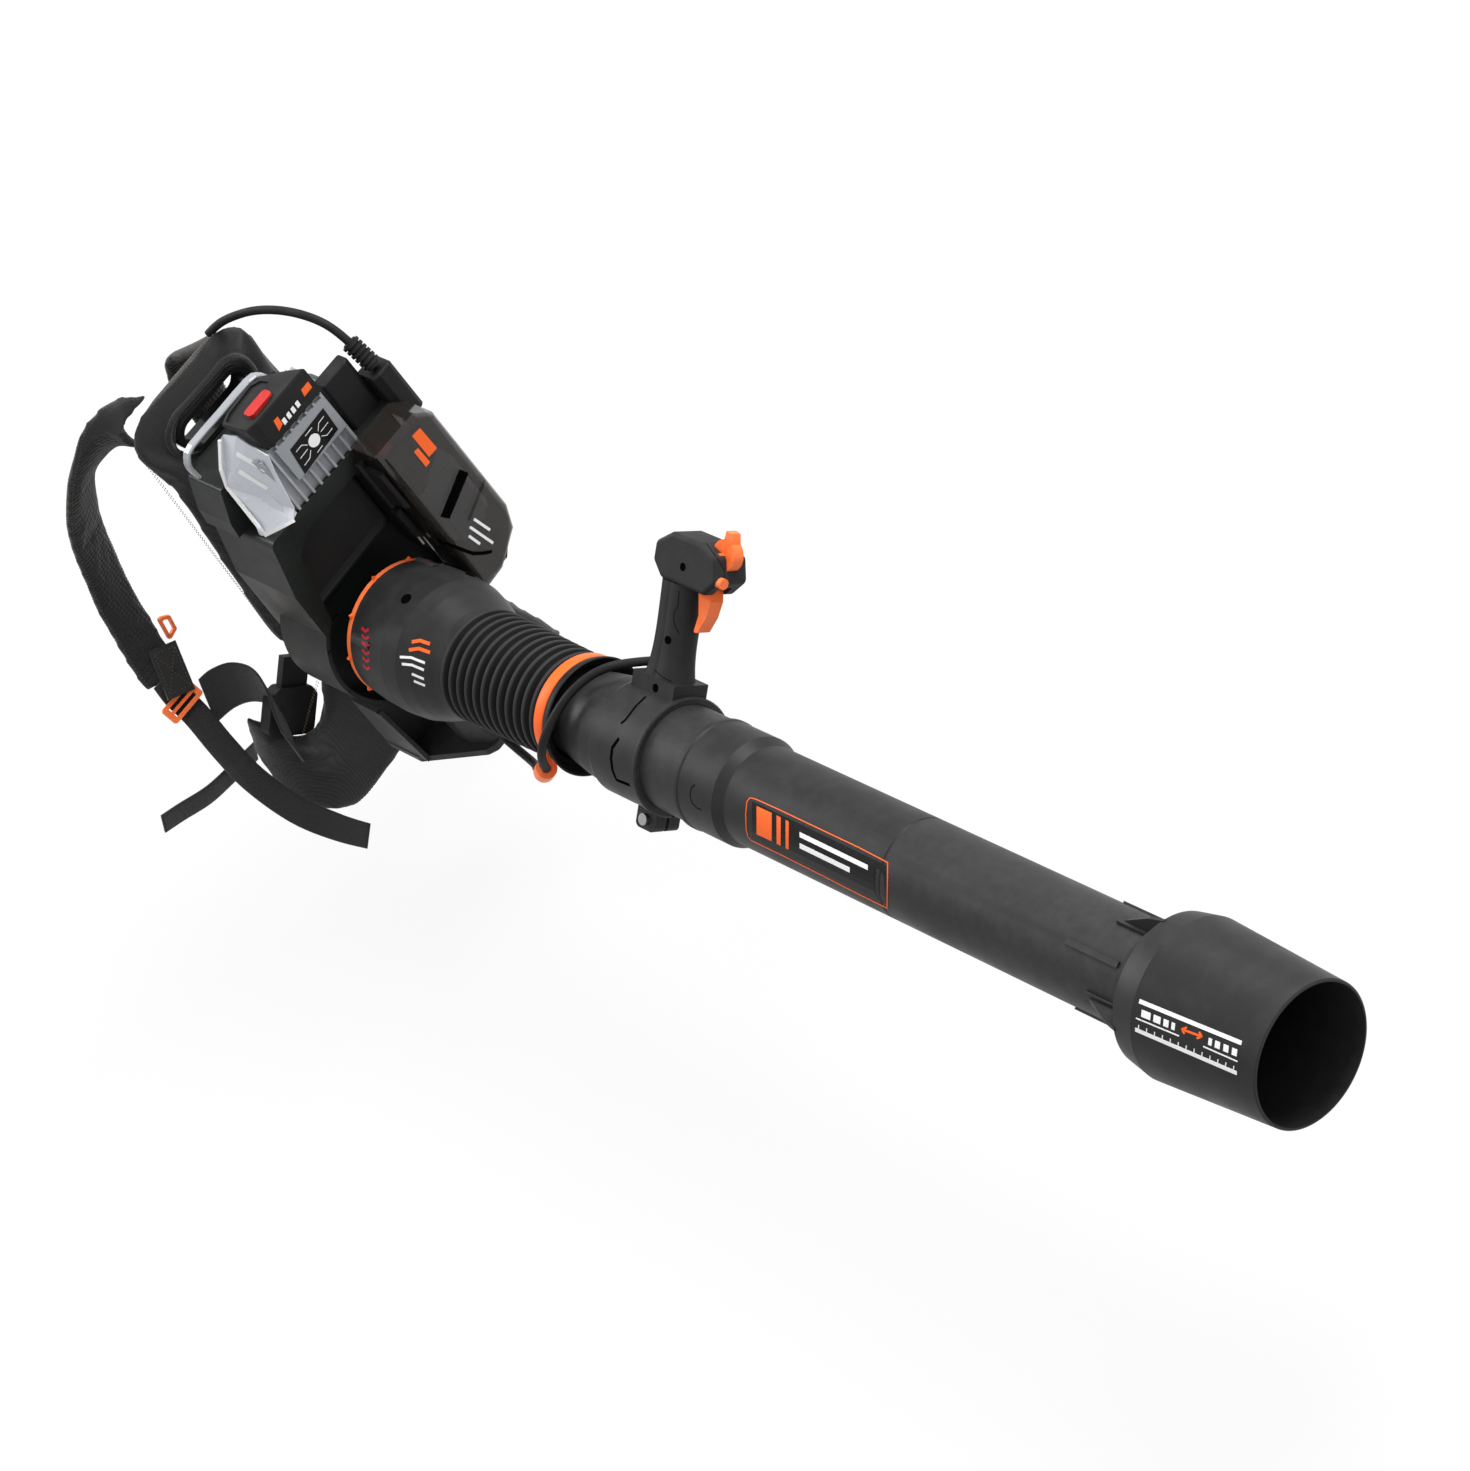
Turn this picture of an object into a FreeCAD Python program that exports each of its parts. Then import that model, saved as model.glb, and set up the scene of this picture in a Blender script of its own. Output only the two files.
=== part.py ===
import FreeCAD, Part
import math
import os
import Sketcher

# Backpack leaf blower, in millimetres.
# +X is the wearer's right, +Y is forward, +Z is up.
# The origin lies on the wearer's back, in the middle plane of the pack, level with the blower's axis.
# The blower tube runs backwards, along -Y.

Vector = FreeCAD.Vector
doc = FreeCAD.newDocument("BackpackBlower")

drivingSizes = {
    # blower line: its place, and distances behind the front face of the intake ring
    "tubeAxisX": -43, "flangeFaceY": -165,
    "intakeRingRadius": 61, "intakeRingBore": 46, "intakeRingDepth": 7, "ringToothHeight": 2.6,
    "housingRadius": 64.5, "housingWall": 2.5, "housingDepth": 121, "housingNeckRadius": 48,
    "fanRadius": 54, "fanHubRadius": 20, "fanStart": 18, "fanDepth": 22, "bladeCount": 9,
    "motorRadius": 21, "motorDepth": 34, "motorStart": 50, "shaftRadius": 3, "vaneCount": 7,
    "bellowsRadius": 50, "bellowsBore": 41.2, "bellowsGroove": 4.8, "bellowsStart": 116, "bellowsDepth": 119, "bellowsRibs": 12,
    "swivelRingRadius": 47.5, "swivelRingStart": 235.3, "swivelRingDepth": 8,
    "cuffRadius": 51, "cuffDepth": 48,
    "neckRadius": 45, "neckBore": 42.6, "neckThroat": 38,
    "clampStart": 318, "clampDepth": 62, "clampWall": 4.2,
    "collarStart": 423, "collarRadius": 46.4, "collarDepth": 48,
    "tubeRadius": 42, "tubeWall": 2.2, "tubeJoint": 665,
    "nozzleStart": 925, "nozzleDepth": 150, "nozzleRadius": 64, "mouthRadius": 57, "nozzleWall": 2.4,
    "nozzleFins": 4,
    # handle, measured outwards from the tube's axis
    "handleAngle": 41, "gripStart": 47, "gripEnd": 139, "gripWidth": 40, "gripThickness": 30,
    "headHeight": 40, "headThickness": 34, "leverRadius": 13, "leverThickness": 10,
    "triggerWidth": 13, "buttonRadius": 4.5,
    # pack housing
    "packHalfWidth": 97, "packRearY": -155, "packFrontY": -66, "packTop": 157, "packShoulder": 130,
    "packWall": 3, "shroudRadius": 74, "recessDepth": 24, "bayWallHeight": 47,
    # battery
    "batteryWidth": 84, "batteryDepth": 48, "batteryRight": 38, "caseHeight": 64, "headRise": 30, "footDepth": 17,
    "finDepth": 4, "finCount": 9,
    # covered bay
    "coverLeft": 25, "coverRight": 90, "coverRearY": -197, "coverFrontY": -110, "coverTop": 161,
    "coverBottom": -22, "coverWall": 2.5, "bayDepth": 46,
    # foot bracket
    "footTop": -107, "footThickness": 7, "footHalfWidth": 67, "footTipHalfWidth": 26, "footTipY": -234,
    "pivotY": -200,
    # harness
    "panelHalfWidth": 95, "panelTop": 248, "panelBottom": -64, "panelThickness": 26,
    "gripHoleX": -6, "gripHoleWidth": 88, "gripHoleHeight": 36, "gripHoleZ": 198,
    "strapWidth": 54, "strapThickness": 12, "webbingWidth": 25, "webbingThickness": 2.4,
    # cables and fits
    "cableRadius": 3.8, "slideGap": 0.3, "pinGap": 0.05, "screwRadius": 2.4,
}

sheet = doc.addObject("Spreadsheet::Sheet", "Sizes")
for row, (alias, value) in enumerate(drivingSizes.items(), start=1):
    sheet.set("A%d" % row, alias)
    sheet.set("B%d" % row, str(value))
    sheet.setAlias("B%d" % row, alias)
doc.recompute()


# A size holds its value in millimetres and the expression that gives it from the sheet.
class Size:
    def __init__(self, value, text):
        self.value = float(value)
        self.text = text

    def __float__(self):
        return self.value

    def joined(self, other, sign, turned=False):
        other = asSize(other)
        left, right = (other, self) if turned else (self, other)
        values = {"+": left.value + right.value, "-": left.value - right.value, "*": left.value * right.value}
        value = left.value / right.value if sign == "/" else values[sign]
        return Size(value, "(%s %s %s)" % (left.text, sign, right.text))

    def __add__(self, other):
        return self.joined(other, "+")

    def __radd__(self, other):
        return self.joined(other, "+", True)

    def __sub__(self, other):
        return self.joined(other, "-")

    def __rsub__(self, other):
        return self.joined(other, "-", True)

    def __mul__(self, other):
        return self.joined(other, "*")

    def __rmul__(self, other):
        return self.joined(other, "*", True)

    def __truediv__(self, other):
        return self.joined(other, "/")

    def __neg__(self):
        return self.joined(-1, "*")


def asSize(value):
    if isinstance(value, Size):
        return value
    return Size(value, "(%s)" % repr(float(value)))


class Sizes:
    def __getattr__(self, alias):
        return Size(sheet.get(alias), "Sizes." + alias)


size = Sizes()
parts = []


def bind(item, path, value):
    item.setExpression(path, asSize(value).text)


def keep(item, label):
    item.Label = label
    parts.append(item)
    return item


# Places: along the blower line, in the handle's frame, or at a point of the pack.
LINE_TURN = FreeCAD.Rotation(Vector(1, 0, 0), 90)


def placeOnLine(item, start=0, spin=0):
    item.Placement = FreeCAD.Placement(Vector(), LINE_TURN * FreeCAD.Rotation(Vector(0, 0, 1), float(asSize(spin))))
    bind(item, "Placement.Base.x", size.tubeAxisX)
    bind(item, "Placement.Base.y", size.flangeFaceY - start)


def placeAt(item, x, y, z, rotation=FreeCAD.Rotation()):
    item.Placement = FreeCAD.Placement(Vector(), rotation)
    bind(item, "Placement.Base.x", x)
    bind(item, "Placement.Base.y", y)
    bind(item, "Placement.Base.z", z)


# Sketches: a closed outline is a list of corners, a circle is its centre and radius.
def fixPoint(sketch, geometry, point, x, y):
    for direction, axis, value in (("DistanceX", -2, asSize(x)), ("DistanceY", -1, asSize(y))):
        if value.value == 0:
            sketch.addConstraint(Sketcher.Constraint("PointOnObject", geometry, point, axis))
        else:
            index = sketch.addConstraint(Sketcher.Constraint(direction, -1, 1, geometry, point, value.value))
            sketch.setExpression("Constraints[%d]" % index, value.text)


def drawOutline(sketch, corners):
    first = sketch.GeometryCount
    count = len(corners)
    points = [Vector(float(asSize(x)), float(asSize(y)), 0) for x, y in corners]
    for i in range(count):
        sketch.addGeometry(Part.LineSegment(points[i], points[(i + 1) % count]), False)
    for i in range(count):
        sketch.addConstraint(Sketcher.Constraint("Coincident", first + i, 2, first + (i + 1) % count, 1))
    for i, (x, y) in enumerate(corners):
        fixPoint(sketch, first + i, 1, x, y)


def drawCircle(sketch, x, y, radius):
    radius = asSize(radius)
    centre = Vector(float(asSize(x)), float(asSize(y)), 0)
    index = sketch.addGeometry(Part.Circle(centre, Vector(0, 0, 1), radius.value), False)
    fixPoint(sketch, index, 3, x, y)
    constraint = sketch.addConstraint(Sketcher.Constraint("Radius", index, radius.value))
    sketch.setExpression("Constraints[%d]" % constraint, radius.text)


def newSketch(body, name, role, outlines=(), circles=(), height=0):
    sketch = body.newObject("Sketcher::SketchObject", name)
    plane = next(feature for feature in body.Origin.OriginFeatures if feature.Role == role)
    sketch.AttachmentSupport = [(plane, "")]
    sketch.MapMode = "FlatFace"
    if isinstance(height, Size) or height:
        bind(sketch, "AttachmentOffset.Base.z", height)
    for outline in outlines:
        drawOutline(sketch, outline)
    for x, y, radius in circles:
        drawCircle(sketch, x, y, radius)
    return sketch


def newBody(name):
    return doc.addObject("PartDesign::Body", name)


def revolve(body, name, outline, kind="Revolution"):
    feature = body.newObject("PartDesign::" + kind, name)
    feature.Profile = newSketch(body, name + "Profile", "XZ_Plane", [outline])
    feature.ReferenceAxis = (feature.Profile[0], ["V_Axis"])
    feature.Angle = 360
    return feature


def pad(body, name, role, length, outlines=(), circles=(), height=0, middle=False, kind="Pad", back=False):
    feature = body.newObject("PartDesign::" + kind, name)
    feature.Profile = newSketch(body, name + "Profile", role, outlines, circles, height)
    bind(feature, "Length", length)
    feature.Midplane = middle
    feature.Reversed = back
    return feature


# A cut keeps its direction only if it takes material away.
def pocket(body, name, role, length, outlines=(), circles=(), height=0, middle=False):
    doc.recompute()
    before = body.Shape.Volume
    feature = pad(body, name, role, length, outlines, circles, height, middle, "Pocket")
    doc.recompute()
    if before - body.Shape.Volume < 1:
        feature.Reversed = True
        doc.recompute()
    if before - body.Shape.Volume < 1:
        raise ValueError("%s cuts nothing" % name)
    return feature


def around(body, name, feature, count):
    pattern = body.newObject("PartDesign::PolarPattern", name)
    pattern.Originals = [feature]
    pattern.Axis = (next(f for f in body.Origin.OriginFeatures if f.Role == "Z_Axis"), [""])
    pattern.Angle = 360
    bind(pattern, "Occurrences", count)
    body.Tip = pattern
    return pattern


def inLine(body, name, feature, role, length, count):
    pattern = body.newObject("PartDesign::LinearPattern", name)
    pattern.Originals = [feature]
    pattern.Direction = (next(f for f in body.Origin.OriginFeatures if f.Role == role), [""])
    bind(pattern, "Length", length)
    bind(pattern, "Occurrences", count)
    body.Tip = pattern
    return pattern


def roundEdges(body, name, radius, wanted):
    doc.recompute()
    base = body.Tip
    names = ["Edge%d" % (i + 1) for i, edge in enumerate(base.Shape.Edges) if wanted(edge)]
    feature = body.newObject("PartDesign::Fillet", name)
    feature.Base = (base, names)
    bind(feature, "Radius", radius)
    return feature


def straight(direction):
    def wanted(edge):
        return isinstance(edge.Curve, Part.Line) and abs(edge.Curve.Direction.dot(direction)) > 0.999
    return wanted


ALONG_X = straight(Vector(1, 0, 0))
ALONG_Y = straight(Vector(0, 1, 0))
ALONG_Z = straight(Vector(0, 0, 1))


def rectangle(left, right, bottom, top):
    return [(left, bottom), (right, bottom), (right, top), (left, top)]


def shaped(label, shape, place=None):
    item = doc.addObject("Part::Feature", label)
    item.Shape = shape
    if place:
        place(item)
    return keep(item, label)


# Blower: intake ring with its index teeth
# A shape that rests on neighbours gives way to them.
def swollen(shape, gap):
    box = shape.BoundBox
    grow = FreeCAD.Matrix()
    grow.move(Vector(-box.Center.x, -box.Center.y, -box.Center.z))
    grow.scale(1 + 2 * gap / box.XLength, 1 + 2 * gap / box.YLength, 1 + 2 * gap / box.ZLength)
    grow.move(box.Center)
    return shape.transformGeometry(grow)


def fitted(shape, *labels, gap=0):
    doc.recompute()
    for item in parts:
        if item.Label in labels:
            shape = shape.cut(swollen(item.Shape, gap) if gap else item.Shape)
    return shape


def largest(shape):
    return max(shape.Solids, key=lambda solid: solid.Volume)


def makeIntakeRing():
    body = newBody("intakeRing")
    outer = size.intakeRingRadius
    revolve(body, "ring", [(size.intakeRingBore, 0), (outer - 3, 0), (outer, 2), (outer, size.intakeRingDepth),
                           (size.intakeRingBore, size.intakeRingDepth)])
    tooth = pad(body, "tooth", "XY_Plane", 3, [[(outer - 1, -3.2), (outer + size.ringToothHeight, 0),
                                                (outer - 1, 3.2)]], height=2)
    around(body, "teeth", tooth, 10)
    placeOnLine(body, 0, 12)
    keep(body, "intake_ring")


def makeIntakeGrille():
    body = newBody("intakeGrille")
    rim = size.intakeRingBore - 0.05
    circles = [(0, 0, rim)] + [(0, 0, radius) for radius in (43.5, 36, 33.8, 26, 23.8, 16)]
    pad(body, "rings", "XY_Plane", 2.4, circles=circles, height=3)
    pad(body, "boss", "XY_Plane", 2.4, circles=[(0, 0, 9)], height=3)
    bar = pad(body, "bar", "XY_Plane", 2.4, [rectangle(6, rim - 1, -1.1, 1.1)], height=3)
    around(body, "bars", bar, 8)
    placeOnLine(body)
    keep(body, "intake_grille")


# Blower: the moulded fan housing, open at both ends
def makeFanHousing():
    body = newBody("fanHousing")
    radius = size.housingRadius
    wall = size.housingWall
    start = size.intakeRingDepth + 0.02
    end = size.housingDepth
    neck = size.housingNeckRadius
    outer = [(radius - 3.5, start), (radius - 1, 30), (radius, 55), (radius - 1.5, 74), (radius - 5.5, 89),
             (radius - 9.5, 100), (neck + 2.5, 112), (neck, end)]
    inner = [(r - wall, z) for r, z in reversed(outer)]
    revolve(body, "shell", outer + inner)
    boss = pad(body, "screwBoss", "XY_Plane", 24, circles=[(radius - 4.5, 0, 5.5)], height=start + 6)
    around(body, "screwBosses", boss, 4)
    bore = size.housingRadius - 4.5
    hollow = [(10, start + 1), (radius - wall - 3.4, start + 1), (radius - wall - 1, 30), (radius - wall, 48), (10, 48)]
    revolve(body, "airway", hollow, "Groove")
    pocket(body, "screwHoles", "XY_Plane", 60, circles=[(bore + 1.5, 0, size.screwRadius)], height=start + 12)
    placeOnLine(body, 0, 45)
    keep(body, "fan_housing")


def turned(vector, angle):
    return FreeCAD.Rotation(Vector(0, 0, 1), angle).multVec(vector)


# Blower: axial fan with twisted blades, and the vaned pod that carries the motor
def bladeSection(radius, start, depth, twist, thickness, angle):
    chord = [Vector(radius, -twist / 2, start), Vector(radius, twist / 2, start + depth)]
    side = Vector(0, thickness / 2, 0)
    corners = [chord[0] - side, chord[0] + side, chord[1] + side, chord[1] - side]
    return Part.makePolygon([turned(p, angle) for p in corners + corners[:1]])


def bladeRow(count, inner, outer, start, depth, twistInner, twistOuter, thickness):
    blades = []
    steps = 4
    for number in range(count):
        sections = []
        for step in range(steps + 1):
            share = step / steps
            sections.append(bladeSection(inner + (outer - inner) * share, start, depth,
                                         twistInner + (twistOuter - twistInner) * share, thickness,
                                         360 * number / count + 9 * share))
        blades.append(Part.makeLoft(sections, True, True))
    return blades


def makeImpeller():
    start = float(size.fanStart)
    depth = float(size.fanDepth)
    hub = float(size.fanHubRadius)
    profile = [(0, start - 12), (8, start - 11), (14, start - 7), (hub - 1.5, start - 1), (hub, start + 3),
               (hub, start + depth), (0, start + depth)]
    wire = Part.makePolygon([Vector(r, 0, z) for r, z in profile + profile[:1]])
    nose = Part.Face(wire).revolve(Vector(), Vector(0, 0, 1), 360)
    blades = bladeRow(int(size.bladeCount.value), hub - 1.5, float(size.fanRadius), start + 1, depth - 2, 12, 30, 2)
    bore = Part.makeCylinder(float(size.shaftRadius), depth, Vector(0, 0, start + 4))
    fan = nose.fuse(blades).cut(bore)
    shaped("impeller", fan.removeSplitter(), placeOnLine)


def makeStator():
    wall = 2
    podRadius = float(size.motorRadius + size.pinGap) + wall
    start = float(size.motorStart) - 4
    end = float(size.motorStart + size.motorDepth)
    profile = [(podRadius - 6, start), (podRadius, start + 4), (podRadius, end), (podRadius - 8, end + 16),
               (4, end + 28), (0, end + 29), (0, end + 0.05), (podRadius - wall, end + 0.05),
               (podRadius - wall, start + 4 - 0.05), (6, start + 4 - 0.05), (6, start)]
    wire = Part.makePolygon([Vector(r, 0, z) for r, z in profile + profile[:1]])
    pod = Part.Face(wire).revolve(Vector(), Vector(0, 0, 1), 360)
    duct = float(size.housingRadius - size.housingWall)
    vanes = bladeRow(int(size.vaneCount.value), podRadius - 1, duct - 1.2, start + 10, 22, 10, 4, 2)
    ringOuter = Part.makeCylinder(duct - 0.35, 10, Vector(0, 0, start + 8))
    ringInner = Part.makeCylinder(duct - 2, 10, Vector(0, 0, start + 8))
    inside = [(0, 0), (duct - 4, 0), (duct - 0.35, 55), (duct - 1.85, 74), (duct - 5.85, 89), (duct - 9.85, 100), (0, 100)]
    face = Part.Face(Part.makePolygon([Vector(r, 0, z) for r, z in inside + inside[:1]]))
    airway = face.revolve(Vector(), Vector(0, 0, 1), 360).fuse(Part.makeCylinder(podRadius, 60, Vector(0, 0, end)))
    stator = pod.fuse(vanes + [ringOuter.cut(ringInner)]).common(airway)
    shaped("stator", stator.removeSplitter(), placeOnLine)


def makeMotor():
    body = newBody("motor")
    start = size.motorStart
    end = start + size.motorDepth
    bore = size.shaftRadius + size.pinGap
    radius = size.motorRadius
    revolve(body, "can", [(bore, start), (radius - 2, start), (radius, start + 2), (radius, end - 0.5),
                          (bore, end - 0.5)])
    slot = pad(body, "windingSlot", "XY_Plane", size.motorDepth - 14, [rectangle(radius - 2.5, radius + 1, -2, 2)],
               height=start + 7, kind="Pocket")
    slot.Reversed = True
    around(body, "windingSlots", slot, 6)
    placeOnLine(body)
    keep(body, "motor")


def makeMotorShaft():
    rod = doc.addObject("Part::Cylinder", "motorShaft")
    bind(rod, "Radius", size.shaftRadius)
    bind(rod, "Height", size.motorStart + size.motorDepth - 2 - size.fanStart - 4)
    placeOnLine(rod, size.fanStart + 4)
    keep(rod, "motor_shaft")


# Ribbed hose: each rib is four circles, joined by straight walls
def makeBellows():
    radius = float(size.bellowsRadius)
    start = float(size.bellowsStart)
    depth = float(size.bellowsDepth)
    ribs = int(size.bellowsRibs.value)
    taper = float(size.bellowsRadius - size.swivelRingRadius)
    groove = float(size.bellowsGroove)
    pitch = depth / ribs
    wires = []
    for rib in range(ribs):
        for share, drop in ((0, groove), (0.3, 0), (0.62, 0), (0.92, groove)):
            z = start + pitch * (rib + share)
            r = radius - taper * (z - start) / depth - drop
            wires.append(Part.Wire(Part.makeCircle(r, Vector(0, 0, z))))
    end = radius - taper - groove
    wires.append(Part.Wire(Part.makeCircle(end, Vector(0, 0, start + depth))))
    outer = Part.makeLoft(wires, True, True)
    bore = Part.makeCylinder(float(size.bellowsBore), depth + 2, Vector(0, 0, start - 1))
    seat = Part.makeCone(float(size.housingNeckRadius + 2.5 + 0.3), float(size.housingNeckRadius + 0.3),
                         float(size.housingDepth) - 112 + 0.2, Vector(0, 0, 112))
    shaped("bellows", outer.cut(bore).cut(seat), placeOnLine)


def makeSwivelRing():
    body = newBody("swivelRing")
    start = size.swivelRingStart
    end = start + size.swivelRingDepth
    outer = size.swivelRingRadius
    revolve(body, "ring", [(outer - 5, start), (outer, start), (outer + 0.6, start + 2), (outer + 0.6, end - 1),
                           (outer, end), (outer - 5, end)])
    placeOnLine(body)
    keep(body, "swivel_ring")


def makeCuff():
    body = newBody("cuff")
    start = size.swivelRingStart + size.swivelRingDepth + 0.02
    end = start + size.cuffDepth
    outer = size.cuffRadius
    throat = size.neckThroat + 0.3
    outline = [(throat, start), (outer - 2.5, start), (outer - 0.5, start + 19), (outer, end - 6), (outer - 1.5, end),
               (outer - 3.5, end), (outer - 2.8, end - 7), (outer - 3.5, start + 19), (outer - 5.2, start + 4),
               (throat, start + 4)]
    revolve(body, "skirt", outline)
    placeOnLine(body)
    keep(body, "cuff")


def makeNeckTube():
    body = newBody("neckTube")
    start = size.swivelRingStart + size.swivelRingDepth + 0.02
    throat = size.neckThroat
    radius = size.neckRadius
    wall = size.neckRadius - size.neckBore
    end = size.collarStart + 20
    outer = [(throat, start), (throat, start + 19), (throat + 3, start + 32), (radius, start + 57), (radius, end)]
    inner = [(r - wall, z) for r, z in reversed(outer)]
    revolve(body, "cone", outer + inner)
    placeOnLine(body)
    keep(body, "neck_tube")


# Wand: two tube lengths, the first with its locking collar
def makeFrontTube():
    body = newBody("frontTube")
    start = size.collarStart
    joint = size.tubeJoint
    collar = size.collarRadius
    tube = size.tubeRadius
    bore = size.tubeRadius - size.tubeWall
    seat = size.neckRadius + size.slideGap / 6
    socket = start + 20.4
    outline = [(seat, start), (collar, start), (collar + 0.8, start + 1.5), (collar + 0.8, start + 5),
               (collar, start + 7), (collar, start + size.collarDepth), (tube, start + size.collarDepth + 10),
               (tube, joint - 1.2), (tube - 0.8, joint), (bore, joint), (bore, socket), (seat, socket)]
    revolve(body, "tube", outline)
    placeOnLine(body)
    keep(body, "front_tube")


def makeRearTube():
    body = newBody("rearTube")
    joint = size.tubeJoint
    end = size.nozzleStart + 72
    tube = size.tubeRadius
    wall = size.tubeWall
    plug = tube - wall - 0.04
    outline = [(tube - 0.8, joint + 0.02), (tube, joint + 1.2), (tube, end), (tube - wall, end),
               (tube - wall, joint + 4), (plug - wall, joint - 4), (plug - wall, joint - 24), (plug, joint - 24),
               (plug, joint + 0.02)]
    revolve(body, "tube", outline)
    rail = pad(body, "rail", "XY_Plane", 54, [rectangle(tube - 1, tube + 1.6, -2.5, 2.5)],
               height=size.nozzleStart - 62)
    around(body, "rails", rail, size.nozzleFins)
    placeOnLine(body, 0, 20)
    keep(body, "rear_tube")


# Nozzle: a wide sleeve carried on fins, which slides along the rear tube
def makeNozzle():
    body = newBody("nozzle")
    start = size.nozzleStart
    end = start + size.nozzleDepth
    radius = size.nozzleRadius
    mouth = size.mouthRadius
    wall = size.nozzleWall
    sleeve = size.tubeRadius + size.slideGap
    outer = [(sleeve, start - 4), (sleeve + wall, start - 4), (sleeve + wall, start), (radius - 12, start + 4),
             (radius - 4, start + 12), (radius, start + 34), (mouth, end - 1), (mouth - 1, end)]
    inner = [(mouth - wall, end), (mouth - wall, end - 8), (radius - wall, start + 35), (radius - wall - 4, start + 16),
             (radius - wall - 11, start + 8.5), (sleeve, start + 8)]
    revolve(body, "sleeve", outer + inner)
    fin = pad(body, "fin", "XZ_Plane", 3, [[(sleeve + wall - 0.5, start - 30), (sleeve + wall - 0.5, start + 20),
                                           (radius - 3, start + 14), (radius - 7, start - 2)]], middle=True)
    foot = pad(body, "finFoot", "XZ_Plane", 9, [[(sleeve, start - 34), (sleeve + wall, start - 34),
                                                (sleeve + wall, start), (sleeve, start)]], middle=True)
    pattern = body.newObject("PartDesign::PolarPattern", "fins")
    pattern.Originals = [fin, foot]
    pattern.Axis = (next(f for f in body.Origin.OriginFeatures if f.Role == "Z_Axis"), [""])
    pattern.Angle = 360
    bind(pattern, "Occurrences", size.nozzleFins)
    body.Tip = pattern
    placeOnLine(body, 0, 65)
    keep(body, "nozzle")


# Handle: in its own frame +X points outwards from the tube and +Z along the tube
def makeClampCollar():
    body = newBody("clampCollar")
    start = size.clampStart
    end = start + size.clampDepth
    inner = size.neckRadius + size.slideGap
    outer = inner + size.clampWall
    revolve(body, "band", [(inner, start), (outer - 1, start), (outer, start + 3), (outer, end - 6),
                           (outer + 1.4, end - 5), (outer + 1.4, end - 1), (outer, end), (inner, end)])
    pad(body, "saddle", "YZ_Plane", 18, [rectangle(-18, 18, start + 6, end - 4)], height=outer - 8)
    pad(body, "lug", "YZ_Plane", 20, [rectangle(-13, 13, end - 30, end - 6)],
        height=-outer - 16)
    pocket(body, "lugGap", "YZ_Plane", 30, [rectangle(-1.5, 1.5, end - 40, end + 10)], height=-outer - 20)
    pocket(body, "boltHole", "XZ_Plane", 40, circles=[(-outer - 7, end - 18, size.screwRadius + 0.5)], middle=True)
    bore = [(20, start - 1), (inner, start - 1), (inner, end + 1), (20, end + 1)]
    revolve(body, "bore", bore, "Groove")
    doc.recompute()
    roundEdges(body, "lugRounding", 5, lambda edge: ALONG_Y(edge) and edge.CenterOfMass.x < -60)
    placeOnLine(body, 0, size.handleAngle)
    keep(body, "clamp_collar")


def makeClampBolt():
    body = newBody("clampBolt")
    outer = size.neckRadius + size.slideGap + size.clampWall
    axis = [(-outer - 7, size.clampStart + size.clampDepth - 18)]
    x, z = axis[0]
    pad(body, "shank", "XZ_Plane", 32, circles=[(x, z, size.screwRadius + 0.45)], middle=True)
    pad(body, "head", "XZ_Plane", 4, circles=[(x, z, 5)], height=13.1)
    pad(body, "nut", "XZ_Plane", 4, circles=[(x, z, 5)], height=-17.1)
    placeOnLine(body, 0, size.handleAngle)
    keep(body, "clamp_bolt")


def ovalWire(x, centre, halfLength, halfWidth):
    corners = [Vector(x, halfWidth, centre), Vector(x, 0, centre + halfLength), Vector(x, -halfWidth, centre),
               Vector(x, 0, centre - halfLength)]
    edges = []
    for i in range(4):
        a, b = corners[i], corners[(i + 1) % 4]
        middle = (a + b) * 0.5 - Vector(x, 0, centre)
        bulge = Vector(x, 0, centre) + middle * 1.52
        edges.append(Part.Arc(a, bulge, b).toShape())
    return Part.Wire(edges)


def makeGrip():
    centre = float(size.clampStart) + 31
    start = float(size.neckRadius + size.slideGap + size.clampWall) + 10.02
    end = float(size.gripEnd)
    length = float(size.gripWidth) / 2
    width = float(size.gripThickness) / 2
    stations = [(start, 1.14, 1.08), (start + 8, 1.04, 1.02), (start + 30, 0.94, 0.94), (end - 22, 0.94, 0.98),
                (end, 1.0, 1.0)]
    wires = [ovalWire(x, centre, length * a, width * b) for x, a, b in stations]
    shaped("grip", Part.makeLoft(wires, True, False), lambda item: placeOnLine(item, 0, size.handleAngle))


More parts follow.
